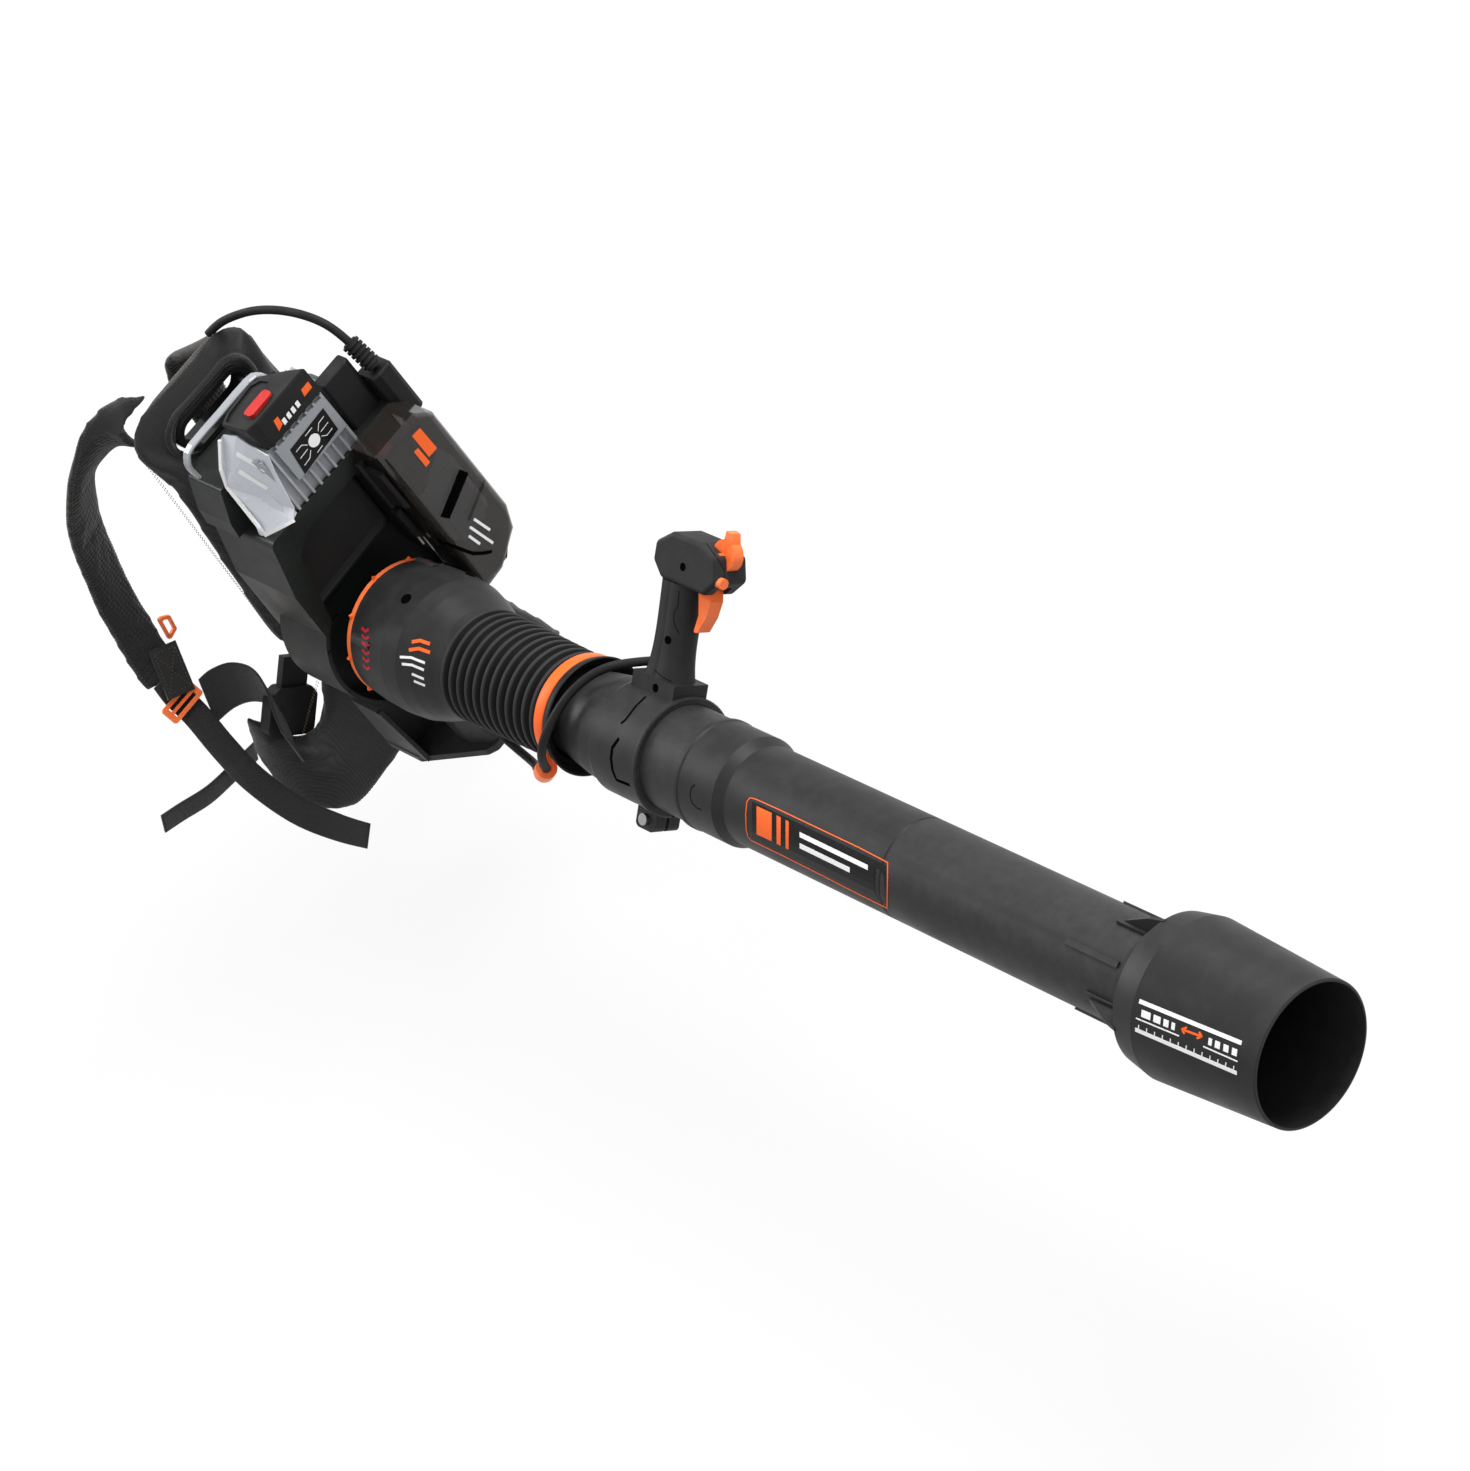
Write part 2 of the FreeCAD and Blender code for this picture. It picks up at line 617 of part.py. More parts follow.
def makeHandleHead():
    body = newBody("handleHead")
    base = size.gripEnd + 0.02
    top = base + size.headHeight
    front = size.clampStart + 6
    thick = size.headThickness
    outline = [(base, front + 12), (base, front + 66), (base + 14, front + 80), (top - 6, front + 74),
               (top, front + 52), (top, front + 18), (top - 12, front), (base + 12, front)]
    pad(body, "block", "XZ_Plane", thick, [outline], middle=True)
    roundEdges(body, "cornerRounding", 6, ALONG_Y)
    doc.recompute()
    roundEdges(body, "sideRounding", 4, lambda edge: abs(abs(edge.CenterOfMass.y) - float(thick) / 2) < 0.01)
    pocket(body, "triggerSlot", "XZ_Plane", size.triggerWidth + 0.8,
           [rectangle(base - 5, base + 15, front + 46, front + 74)], middle=True)
    pocket(body, "triggerPinHole", "XZ_Plane", size.triggerWidth + 14,
           circles=[(base + 8, front + 54, 2 + size.pinGap)], middle=True)
    pocket(body, "leverSlot", "XZ_Plane", size.leverThickness + 0.8,
           circles=[(top - 6, front + 70, size.leverRadius + 0.8)], middle=True)
    pocket(body, "leverPinHole", "XZ_Plane", size.leverThickness + 12,
           circles=[(top - 6, front + 70, 2 + size.pinGap)], middle=True)
    pocket(body, "buttonHole", "XY_Plane", 16, circles=[(base + 14, 11, size.buttonRadius + size.slideGap)],
           height=front + 82)
    placeOnLine(body, 0, size.handleAngle)
    keep(body, "handle_head")


def makeTrigger():
    body = newBody("trigger")
    base = size.gripEnd + 0.02
    front = size.clampStart + 6
    outline = [(base + 13.4, front + 50), (base + 13.4, front + 62), (base - 6, front + 66), (base - 20, front + 63),
               (base - 34, front + 56), (base - 35, front + 51), (base - 20, front + 54), (base - 3, front + 50)]
    pad(body, "lever", "XZ_Plane", size.triggerWidth, [outline], middle=True)
    roundEdges(body, "softEdges", 1.5, ALONG_Y)
    pad(body, "pin", "XZ_Plane", size.triggerWidth + 12, circles=[(base + 8, front + 54, 2)], middle=True)
    placeOnLine(body, 0, size.handleAngle)
    keep(body, "trigger")


def makeSpeedLever():
    body = newBody("speedLever")
    base = size.gripEnd + 0.02
    x = base + size.headHeight - 6
    z = size.clampStart + 6 + 70
    radius = size.leverRadius
    pad(body, "wheel", "XZ_Plane", size.leverThickness, circles=[(x, z, radius)], middle=True)
    pad(body, "tab", "XZ_Plane", size.leverThickness, [[(x + 4, z - 3), (x + radius + 7, z - 1),
                                                        (x + radius + 6, z + 5), (x + 4, z + 9)]], middle=True)
    pad(body, "pin", "XZ_Plane", size.leverThickness + 10, circles=[(x, z, 2)], middle=True)
    placeOnLine(body, 0, size.handleAngle)
    keep(body, "speed_lever")


def makeBoostButton():
    body = newBody("boostButton")
    base = size.gripEnd + 0.02
    front = size.clampStart + 6
    pad(body, "plunger", "XY_Plane", 13, circles=[(base + 14, 11, size.buttonRadius)], height=front + 70)
    placeOnLine(body, 0, size.handleAngle)
    keep(body, "boost_button")


# Pack housing: a moulded box with a recess for the blower and a round shroud under it
def makeDockHousing():
    body = newBody("dockHousing")
    half = size.packHalfWidth
    depth = size.packFrontY - size.packRearY
    outline = [(-half - 2, -10), (-half - 2, 40), (-half, size.packShoulder - 30), (-half + 8, size.packTop - 25),
               (-half + 14, size.packTop), (half - 14, size.packTop), (half, size.packTop - 30), (half, -20),
               (half - 25, -48), (-60, -48)]
    pad(body, "box", "XZ_Plane", depth, [outline], height=-size.packFrontY)
    pad(body, "shroud", "XZ_Plane", depth - 20, circles=[(size.tubeAxisX, 0, size.shroudRadius)],
        height=-size.packFrontY + 20)
    roundEdges(body, "cornerRounding", 7, lambda edge: ALONG_Y(edge) and edge.CenterOfMass.z > 60)
    recess = [(size.tubeAxisX - 46, 40), (-70, size.packShoulder - 5), (-50, size.packShoulder + 8), (14, size.packShoulder + 8),
              (19, size.packShoulder), (19, 20), (size.tubeAxisX, 10)]
    pocket(body, "recess", "XZ_Plane", size.recessDepth, [recess], height=-size.packRearY)
    pocket(body, "intakeRecess", "XZ_Plane", size.recessDepth, circles=[(size.tubeAxisX, 0, size.shroudRadius - 4)],
           height=-size.packRearY)
    pocket(body, "seam", "XZ_Plane", 60, [rectangle(-half - 10, -half + 26, 34, 37)], height=-size.packRearY)
    bay = rectangle(size.coverLeft + 7, size.coverRight - 2, size.coverBottom + 26, size.coverTop - 16)
    pocket(body, "coveredBay", "XZ_Plane", size.bayDepth, [bay], height=-size.packRearY)
    plugLeft = size.batteryRight + 40.02
    pocket(body, "plugCorner", "XY_Plane", 26.3, [rectangle(plugLeft - 0.3, plugLeft + 40, size.packRearY - 1, size.packRearY + 27.3)],
           height=size.packTop)
    socket = batteryFoot(size.slideGap)
    pocket(body, "batterySocket", "XY_Plane", size.footDepth + 1, [socket], height=size.packTop)
    placeAt(body, 0, 0, 0)
    keep(body, "dock_housing")


def makeRecessPanel():
    body = newBody("recessPanel")
    top = size.packShoulder + 6
    outline = [(size.tubeAxisX - 40, 58), (-68, top - 12), (-49, top), (13, top), (17, top - 9), (17, 64)]
    pad(body, "plate", "XZ_Plane", 3, [outline], height=-size.packRearY - size.recessDepth + 0.02)
    for number in range(4):
        pad(body, "rib%d" % number, "XZ_Plane", 2.5, [rectangle(-58, 8, 74 + 14 * number, 77 + 14 * number)],
            height=-size.packRearY - size.recessDepth + 3)
    placeAt(body, 0, 0, 0)
    keep(body, "recess_panel")


# Left bay: walls beside and in front of the open battery, two silver shields and a bent loop over them
def makeBayWall():
    body = newBody("bayWall")
    left = size.batteryRight - size.batteryWidth - 0.6
    right = size.batteryRight
    rear = size.packRearY
    floor = size.packTop + 0.02
    top = floor + size.bayWallHeight
    front = size.packFrontY
    side = [(left, floor), (left - 42, floor), (left - 40, floor + 16), (left - 28, top), (left, top)]
    pad(body, "sideWall", "XZ_Plane", front - rear - 40, [side], height=-front)
    behind = [(left - 1, floor), (left - 1, top), (right + 6, top), (right + 30, floor + 18), (right + 30, floor)]
    pad(body, "frontWall", "XZ_Plane", front - rear - size.batteryDepth - 0.6, [behind], height=-front)
    roundEdges(body, "cornerRounding", 3, lambda edge: ALONG_Y(edge) and edge.CenterOfMass.z > float(floor) + 5)
    placeAt(body, 0, 0, 0)
    keep(body, "bay_wall")


def loftBetween(lowZ, low, highZ, high):
    wires = []
    for z, corners in ((lowZ, low), (highZ, high)):
        points = [Vector(x, y, z) for x, y in corners]
        wires.append(Part.makePolygon(points + points[:1]))
    return Part.makeLoft(wires, True, True)


def makeBayGuards():
    left = float(size.batteryRight - size.batteryWidth) - 0.4
    right = float(size.batteryRight) + 0.4
    rear = float(size.packRearY)
    floor = float(size.packTop) + 0.02
    top = floor + float(size.caseHeight)
    low = [(left, rear + 2), (left - 9, rear - 1), (left - 32, rear + 17), (left - 32, rear + 22), (left, rear + 36)]
    high = [(left, rear + 22), (left - 1, rear + 24), (left - 3.5, rear + 43), (left - 3, rear + 45.5), (left, rear + 46)]
    shaped("bay_guard_left", fitted(loftBetween(floor, low, top, high), "bay_wall"))
    low = [(right, rear + 40), (right + 28, rear + 42), (right + 28, rear + 46), (right, rear + 46)]
    high = [(right, rear + 40), (right + 5, rear + 42), (right + 5, rear + 46), (right, rear + 46)]
    shaped("bay_guard_right", loftBetween(floor, low, top + 10, high))


def makeGuardLoop():
    left = float(size.batteryRight - size.batteryWidth)
    right = float(size.batteryRight)
    low = float(size.packTop + size.bayWallHeight) - 2
    y = float(size.packFrontY) - 12
    high = low + 28
    path = [Vector(left - 25, y, low), Vector(left - 26, y, low + 14), Vector(left - 22, y, high - 5), Vector(left - 12, y, high),
            Vector(-20, y, high), Vector(right - 22, y, high), Vector(right - 12, y, high - 4), Vector(right - 6, y, low + 14),
            Vector(right - 5, y, low)]
    loop = bandAlong(path, [Vector(0, 1, 0)] * len(path), [9] * len(path), [3.6] * len(path), steps=2)
    shaped("guard_loop", fitted(loop, "bay_wall"))


# A strap is a row of flat six-sided sections across its path
def smoothRow(values, steps):
    row = []
    last = len(values) - 1
    for i in range(last):
        p0, p1, p2, p3 = values[max(i - 1, 0)], values[i], values[i + 1], values[min(i + 2, last)]
        for step in range(steps):
            u = step / steps
            row.append(p1 + (p2 - p0) * (0.5 * u) + (p0 * 2 - p1 * 5 + p2 * 4 - p3) * (0.5 * u * u)
                       + (p1 * 3 - p0 - p2 * 3 + p3) * (0.5 * u ** 3))
    return row + [values[last]]


def bandAlong(path, across, widths, thicknesses, crown=0.25, steps=3, slanted=False):
    path, across = smoothRow(path, steps), smoothRow(across, steps)
    widths, thicknesses = smoothRow(widths, steps), smoothRow(thicknesses, steps)
    wires = []
    for i, point in enumerate(path):
        before = path[max(i - 1, 0)]
        after = path[min(i + 1, len(path) - 1)]
        tangent = (after - before).normalize()
        side = across[i] if slanted else across[i] - tangent * across[i].dot(tangent)
        side = Vector(side).normalize()
        normal = tangent.cross(side).normalize()
        half = widths[i] / 2
        thick = thicknesses[i] / 2
        flat = half - min(half * crown, thick * 3)
        corners = [point + side * a + normal * b for a, b in
                   ((-half, -thick * 0.35), (-flat, -thick), (flat, -thick), (half, -thick * 0.35),
                    (half, thick * 0.35), (flat, thick), (-flat, thick), (-half, thick * 0.35))]
        wires.append(Part.makePolygon(corners + corners[:1]))
    return Part.makeLoft(wires, True, True)


def bandBetween(edge, otherEdge, thicknesses, crown=0.25):
    edge, otherEdge = vectors(edge), vectors(otherEdge)
    path = [(a + b) * 0.5 for a, b in zip(edge, otherEdge)]
    across = [b - a for a, b in zip(edge, otherEdge)]
    return bandAlong(path, across, [side.Length for side in across], thicknesses, crown, 3, True)


# Battery: ribbed case on a foot, dark head and release button
def batteryFoot(gap):
    half = size.batteryWidth / 2 - 14
    middle = size.batteryRight - size.batteryWidth / 2
    rear = size.packRearY
    return rectangle(middle - half - gap, middle + half + gap, rear + 10 - gap, rear + size.batteryDepth - 8 + gap)


def makeBattery(name, place):
    half = size.batteryWidth / 2
    deep = size.batteryDepth
    rise = size.caseHeight
    fin = size.finDepth
    case = newBody(name + "Case")
    outline = [(-half + 2, fin), (-half + 20, fin), (half - 2, fin), (half, fin + 3), (half, deep - 8), (half - 6, deep - 2),
               (-half + 6, deep - 2), (-half, deep - 8), (-half, fin + 3)]
    pad(case, "block", "XY_Plane", rise, [outline])
    pitch = (size.batteryWidth - 7) / (size.finCount - 1)
    ridge = [(-half + 1.6, fin + 0.5), (-half + 2.4, 0.6), (-half + 4.6, 0.6), (-half + 5.4, fin + 0.5)]
    first = pad(case, "ridge", "XY_Plane", rise - 2, [ridge])
    inLine(case, "ridges", first, "X_Axis", pitch * (size.finCount - 1), size.finCount)
    pad(case, "plate", "XY_Plane", rise - 26, [rectangle(-half + 19, half - 2, 0, fin + 0.5)], height=21)
    pad(case, "foot", "XY_Plane", size.footDepth + 1, [rectangle(-half + 14, half - 14, 10, deep - 8)], height=-size.footDepth)
    place(case)
    keep(case, name + "_case")
    head = newBody(name + "Head")
    base = rise + 0.02
    top = base + size.headRise
    outline = [(half, 0), (-half + 22, 0), (-half + 12, 4), (-half + 5, 14), (-half + 1, 27), (-half + 4, 36), (-half + 11, deep - 3),
               (half - 22, deep - 3), (half - 10, 22), (half, 9)]
    pad(head, "block", "XY_Plane", size.headRise, [outline], height=base)
    roundEdges(head, "topRounding", 2, lambda edge: abs(edge.CenterOfMass.z - float(top)) < 0.01)
    gap = size.slideGap
    key = (-half + 24, -half + 52, 8, 20)
    pocket(head, "buttonHole", "XY_Plane", 12, [rectangle(key[0] - gap, key[1] + gap, key[2] - gap, key[3] + gap)], height=top)
    place(head)
    keep(head, name + "_head")
    button = newBody(name + "Button")
    pad(button, "key", "XY_Plane", 9, [rectangle(*key)], height=top - 7)
    roundEdges(button, "cornerRounding", 4, ALONG_Z)
    place(button)
    keep(button, name + "_button")


# Right bay: a smoked cover that hinges at its foot, with its latch on the left
def makeBayCover():
    body = newBody("bayCover")
    left = size.coverLeft
    right = size.coverRight
    top = size.coverTop
    bottom = size.coverBottom
    wall = size.coverWall
    rear = size.coverRearY
    front = size.packRearY - 0.4
    outline = [(left, bottom), (left + 26, bottom + 2), (right - 8, bottom + 22), (right, bottom + 44),
               (right, top - 14), (right - 14, top), (left, top)]
    pad(body, "shell", "XZ_Plane", front - rear, [outline], height=-front)
    roundEdges(body, "rearRounding", 7, lambda edge: abs(edge.CenterOfMass.y - float(rear)) < 0.01)
    inside = [(left + wall, bottom + wall), (left + 25, bottom + wall + 2), (right - 10, bottom + 24),
              (right - wall, bottom + 45), (right - wall, top - 15), (right - 15, top - wall), (left + wall, top - wall)]
    pocket(body, "hollow", "XZ_Plane", front - rear - wall, [inside], height=-front)
    grip = [(left + 28, 44), (right + 4, 62), (right + 4, 70), (left + 28, 52)]
    pocket(body, "fingerSlot", "XZ_Plane", 2, [grip], height=-rear)
    placeAt(body, 0, 0, 0)
    keep(body, "bay_cover")


def makeCoverHinge():
    body = newBody("coverHinge")
    y = size.packRearY - 3
    z = size.coverBottom - 4.6
    pad(body, "rod", "YZ_Plane", 58, circles=[(y, z, 2.6)], height=size.coverLeft + 2)
    pad(body, "ears", "YZ_Plane", 10, [rectangle(y - 2, y + 3, z - 2, z + 2)], height=size.coverLeft + 2)
    placeAt(body, 0, 0, 0)
    keep(body, "cover_hinge")


def makeCoverLatch():
    body = newBody("coverLatch")
    x = size.coverLeft
    rear = size.packRearY
    pad(body, "clip", "XY_Plane", 44, [[(x - 5.5, rear - 6), (x - 5.5, rear - 30), (x - 2, rear - 34), (x - 0.4, rear - 30),
                                        (x - 0.4, rear - 6)]], height=96)
    roundEdges(body, "clipRounding", 1.2, ALONG_Z)
    pad(body, "barrel", "XY_Plane", 56, circles=[(x - 4, rear - 5, 4)], height=90)
    placeAt(body, 0, 0, 0)
    keep(body, "cover_latch")


def makeConnectorBlock():
    body = newBody("connectorBlock")
    floor = size.packTop + 0.02
    rear = size.packRearY
    left = size.batteryRight + 1
    outline = [(left + 5, rear + 13), (left + 34, rear + 13), (left + 39, rear + 16), (left + 39, rear + 29), (left + 5, rear + 29)]
    pad(body, "block", "XY_Plane", 56, [outline], height=floor)
    roundEdges(body, "cornerRounding", 2.5, ALONG_Z)
    doc.recompute()
    roundEdges(body, "topRounding", 2, lambda edge: abs(edge.CenterOfMass.z - float(floor) - 56) < 0.01)
    placeAt(body, 0, 0, 0)
    keep(body, "connector_block")


def makeCablePlug():
    body = newBody("cablePlug")
    x = size.batteryRight + 1 + 39.02
    rear = size.packRearY
    floor = size.packTop - 26
    outline = [(x, rear + 3), (x + 8, rear), (x + 20, rear), (x + 24, rear + 3), (x + 24, rear + 27), (x, rear + 27)]
    pad(body, "shell", "XY_Plane", 56, [outline], height=floor)
    roundEdges(body, "cornerRounding", 3, ALONG_Z)
    doc.recompute()
    roundEdges(body, "topRounding", 2.5, lambda edge: abs(edge.CenterOfMass.z - float(floor) - 56) < 0.01)
    placeAt(body, 0, 0, 0)
    keep(body, "cable_plug")


# Ribbed boot that the cable leaves the plug through
def makeCableBoot():
    radius = float(size.cableRadius)
    foot = Vector(*UPPER_CABLE[0])
    way = (Vector(*UPPER_CABLE[1]) - foot).normalize()
    start = foot - way * 30
    solids = [Part.makeCylinder(radius + 2.6, 30, start, way)]
    for number in range(6):
        solids.append(Part.makeCylinder(radius + 4.6, 2.6, start + way * (3 + 4.6 * number), way))
    boot = solids[0].fuse(solids[1:])
    plugTop = float(size.packTop) + 30
    under = Part.makeBox(60, 60, 40, Vector(foot.x - 30, foot.y - 30, plugTop - 40 + 0.02))
    shaped("cable_boot", boot.cut(under).removeSplitter())


def makeCenterStrip():
    body = newBody("centerStrip")
    rear = size.packRearY
    right = size.coverLeft - 1.5
    pad(body, "strip", "XZ_Plane", 9, [[(right - 7, 52), (right, 44), (right, 84), (right - 7, 84)]], height=-rear + 0.02)
    roundEdges(body, "cornerRounding", 1.5, ALONG_Z)
    placeAt(body, 0, 0, 0)
    keep(body, "center_strip")


# Foot bracket: a saddle under the shroud and a plate that the blower swivels on
def makeFootBracket():
    body = newBody("footBracket")
    x = size.tubeAxisX
    half = size.footHalfWidth
    tip = size.footTipHalfWidth
    rear = size.packRearY
    top = size.footTop
    outline = [(x - half, rear + 40), (x - half, rear - 10), (x - tip - 8, size.footTipY + 6), (x - tip, size.footTipY),
               (x + tip, size.footTipY), (x + tip + 8, size.footTipY + 6), (x + half, rear - 10), (x + half, rear + 40)]
    pad(body, "plate", "XY_Plane", size.footThickness, [outline], height=top - size.footThickness)
    roundEdges(body, "plateRounding", 6, ALONG_Z)
    pad(body, "saddle", "XZ_Plane", 36, [rectangle(x - half + 1, x + half - 1, top - 1, -48.02)], height=-rear - 38)
    pad(body, "leftCheek", "YZ_Plane", 4, [[(rear + 2, top - 1), (rear - 24, top - 1), (rear - 20, top + 14), (rear - 4, -50),
                                           (rear + 2, -50)]], height=x - half + 1)
    pad(body, "rightCheek", "YZ_Plane", 4, [[(rear + 2, top - 1), (rear - 24, top - 1), (rear - 20, top + 14), (rear - 4, -50),
                                            (rear + 2, -50)]], height=x + half - 5)
    pocket(body, "shroudSeat", "XZ_Plane", 60, circles=[(x, 0, size.shroudRadius + 0.05)], height=-rear - 42)
    pocket(body, "lightening", "XZ_Plane", 60, [rectangle(x - 34, x + 34, top + 4, -80)], height=-rear - 42)
    pocket(body, "pivotHole", "XY_Plane", 20, circles=[(x, size.pivotY, 6 + size.pinGap)], height=top + 2)
    pocket(body, "boltHoles", "XY_Plane", 20, circles=[(x - 48, rear + 14, 3.2), (x + 48, rear + 14, 3.2)], height=top + 2)
    placeAt(body, 0, 0, 0)
    keep(body, "foot_bracket")


def makeSwivelBlock():
    body = newBody("swivelBlock")
    x = size.tubeAxisX
    floor = size.footTop + 0.3
    rear = size.pivotY
    outline = [(x - 24, rear - 32), (x + 24, rear - 32), (x + 34, rear - 8), (x + 34, rear + 16), (x - 34, rear + 16),
               (x - 34, rear - 8)]
    pad(body, "block", "XY_Plane", 56, [outline], height=floor)
    roundEdges(body, "cornerRounding", 6, ALONG_Z)
    pocket(body, "housingSeat", "XZ_Plane", 80, circles=[(x, 0, size.housingRadius + 0.05)], height=-rear + 40)
    pocket(body, "pivotHole", "XY_Plane", 14, circles=[(x, rear, 6 + size.pinGap)], height=floor)
    placeAt(body, 0, 0, 0)
    keep(body, "swivel_block")


def makeSwivelPin():
    body = newBody("swivelPin")
    x = size.tubeAxisX
    bottom = size.footTop - size.footThickness
    pad(body, "shank", "XY_Plane", size.footThickness + 13, circles=[(x, size.pivotY, 6)], height=bottom - 1)
    pad(body, "head", "XY_Plane", 3.1, circles=[(x, size.pivotY, 11)], height=bottom - 3.12)
    placeAt(body, 0, 0, 0)
    keep(body, "swivel_pin")


# Frame plate between the housing and the padded back
def makeFramePlate():
    body = newBody("framePlate")
    outline = [(-62, -50), (62, -50), (74, -30), (66, 120), (48, 214), (-48, 214), (-66, 120), (-74, -30)]
    depth = -size.panelThickness - 0.3 - size.packFrontY
    pad(body, "plate", "XZ_Plane", depth, [outline], height=size.panelThickness + 0.3)
    roundEdges(body, "cornerRounding", 8, ALONG_Y)
    for number, (low, high) in enumerate(((-30, 30), (42, 104))):
        pocket(body, "lightening%d" % number, "XZ_Plane", 400, [rectangle(-44, 44, low, high)], height=0)
    grip = size.gripHoleZ
    pocket(body, "gripHole", "XZ_Plane", 400, [rectangle(-70, 70, grip - size.gripHoleHeight / 2 - 1, grip + 60)], height=0)
    placeAt(body, 0, 0, 0)
    keep(body, "frame_plate")


# Padded back: crowned on both faces, drawn in at its edges, with the carry opening
def padWire(z, centre, halfWidth, halfThickness):
    y = -float(size.panelThickness) / 2
    edge = halfThickness * 0.45
    corners = [(-halfWidth, edge), (halfWidth, edge), (halfWidth, -edge), (-halfWidth, -edge)]
    middles = [(0, halfThickness), (halfWidth + edge * 0.7, 0), (0, -halfThickness), (-halfWidth - edge * 0.7, 0)]
    edges = []
    for i in range(4):
        a = Vector(centre + corners[i][0], y + corners[i][1], z)
        m = Vector(centre + middles[i][0], y + middles[i][1], z)
        b = Vector(centre + corners[(i + 1) % 4][0], y + corners[(i + 1) % 4][1], z)
        edges.append(Part.Arc(a, m, b).toShape())
    return Part.Wire(edges)


def makeBackPanel():
    half = float(size.panelHalfWidth)
    thick = float(size.panelThickness) / 2
    top = float(size.panelTop)
    bottom = float(size.panelBottom)
    # share of the height, left and right edge as shares of the half width, share of the thickness
    rows = ((0, -0.7, 0.66, 0.45), (0.03, -0.88, 0.78, 0.8), (0.14, -1.02, 0.88, 1.0), (0.32, -1.0, 0.86, 1.0),
            (0.56, -0.92, 0.76, 0.97), (0.74, -0.86, 0.7, 0.94), (0.88, -0.88, 0.68, 0.88), (0.94, -0.84, 0.64, 0.8),
            (0.98, -0.72, 0.54, 0.6), (1, -0.6, 0.44, 0.4))
    wires = []
    for height, left, right, fill in rows:
        wires.append(padWire(bottom + (top - bottom) * height, half * (left + right) / 2, half * (right - left) / 2, thick * fill))
    panel = Part.makeLoft(wires, True, False)
    hole = slotSolid(float(size.gripHoleWidth), float(size.gripHoleHeight))
    shaped("back_panel", panel.cut(hole))


def slotSolid(width, height, deep=80):
    radius = height / 2
    z = float(size.gripHoleZ)
    middle = float(size.gripHoleX)
    half = (width - height) / 2
    box = Part.makeBox(width - height, deep, height, Vector(middle - half, -deep + 20, z - radius))
    ends = [Part.makeCylinder(radius, deep, Vector(x, -deep + 20, z), Vector(0, 1, 0)) for x in (middle - half, middle + half)]
    return box.fuse(ends).removeSplitter()


def makeHandleRim():
    width = float(size.gripHoleWidth) - 0.6
    height = float(size.gripHoleHeight) - 0.6
    outer = slotSolid(width, height)
    inner = slotSolid(width - 9, height - 9)
    y = -float(size.panelThickness)
    band = Part.makeBox(300, float(size.panelThickness) + 2, 300, Vector(-150, y - 1, 50))
    shaped("handle_rim", outer.cut(inner).common(band))


def vectors(rows):
    return [Vector(*row) for row in rows]


# The left strap leaves the panel's corner and hangs open; the right one lies folded in front of the panel
def makeStraps():
    width = float(size.strapWidth)
    thick = float(size.strapThickness)
    path = [(-58, -13, 230), (-67, -9, 241), (-77, 12, 234), (-88, 32, 224), (-104, 48, 209), (-117, 60, 192), (-129, 73, 165),
            (-139, 84, 135), (-148, 90, 98), (-158, 90, 63), (-166, 84, 28), (-174, 72, 1), (-181, 58, -15)]
    across = [(-0.63, 0.1, -0.77), (-0.63, 0.14, -0.76), (-0.17, 0.44, -0.88), (0.12, 0.55, -0.82), (0.26, 0.62, -0.74),
              (0.5, 0.6, -0.6), (0.84, 0.42, -0.3), (0.95, 0.3, 0), (1, 0.25, 0.1), (1, 0.22, 0.1), (1, 0.15, 0.1), (1, 0.1, 0.1),
              (1, 0.05, 0.1)]
    widths = [width * share for share in (1, 1, 1, 1, 1, 1, 0.98, 0.92, 0.88, 0.86, 0.84, 0.8, 0.7)]
    depths = [thick * share for share in (0.9, 0.9, 1, 1, 1, 1, 1, 1, 1, 1, 1, 0.9, 0.8)]
    strap = bandAlong(vectors(path), vectors(across), widths, depths)
    corner = [(-84.2, 150), (-85, 205), (-84.6, 216), (-81.8, 230), (-76, 237.5), (-69.6, 243.4), (-58, 248.8), (60, 248.8), (60, 150)]
    outline = Part.Face(Part.makePolygon(vectors([(x, -90, z) for x, z in corner + corner[:1]])))
    shaped("shoulder_strap_left", largest(strap.cut(outline.extrude(Vector(0, 91.3, 0)))))
    path = [(30, -6, 222), (27, 8, 228), (21, 22, 225), (16, 33, 208), (13, 38, 184), (10, 38, 158), (10, 42, 124), (18, 48, 84),
            (34, 53, 44), (52, 53, 4), (68, 48, -34)]
    across = [(0.92, -0.05, -0.38)] * 3 + [(0.98, 0, -0.2)] + [(1, 0.05, 0)] * 7
    widths = [width * share for share in (1, 1, 0.98, 0.96, 0.96, 0.94, 0.92, 0.9, 0.86, 0.8, 0.7)]
    depths = [thick * share for share in (0.8, 0.9, 0.9, 1, 1, 1, 1, 1, 1, 0.9, 0.8)]
    strap = bandAlong(vectors(path), vectors(across), widths, depths)
    behind = Part.makeBox(400, 100, float(size.gripHoleHeight) + 4, Vector(-200, 1.3 - 100, 180))
    strap = fitted(strap.cut(behind), "back_panel", gap=0.3)
    shaped("shoulder_strap_right", largest(strap))


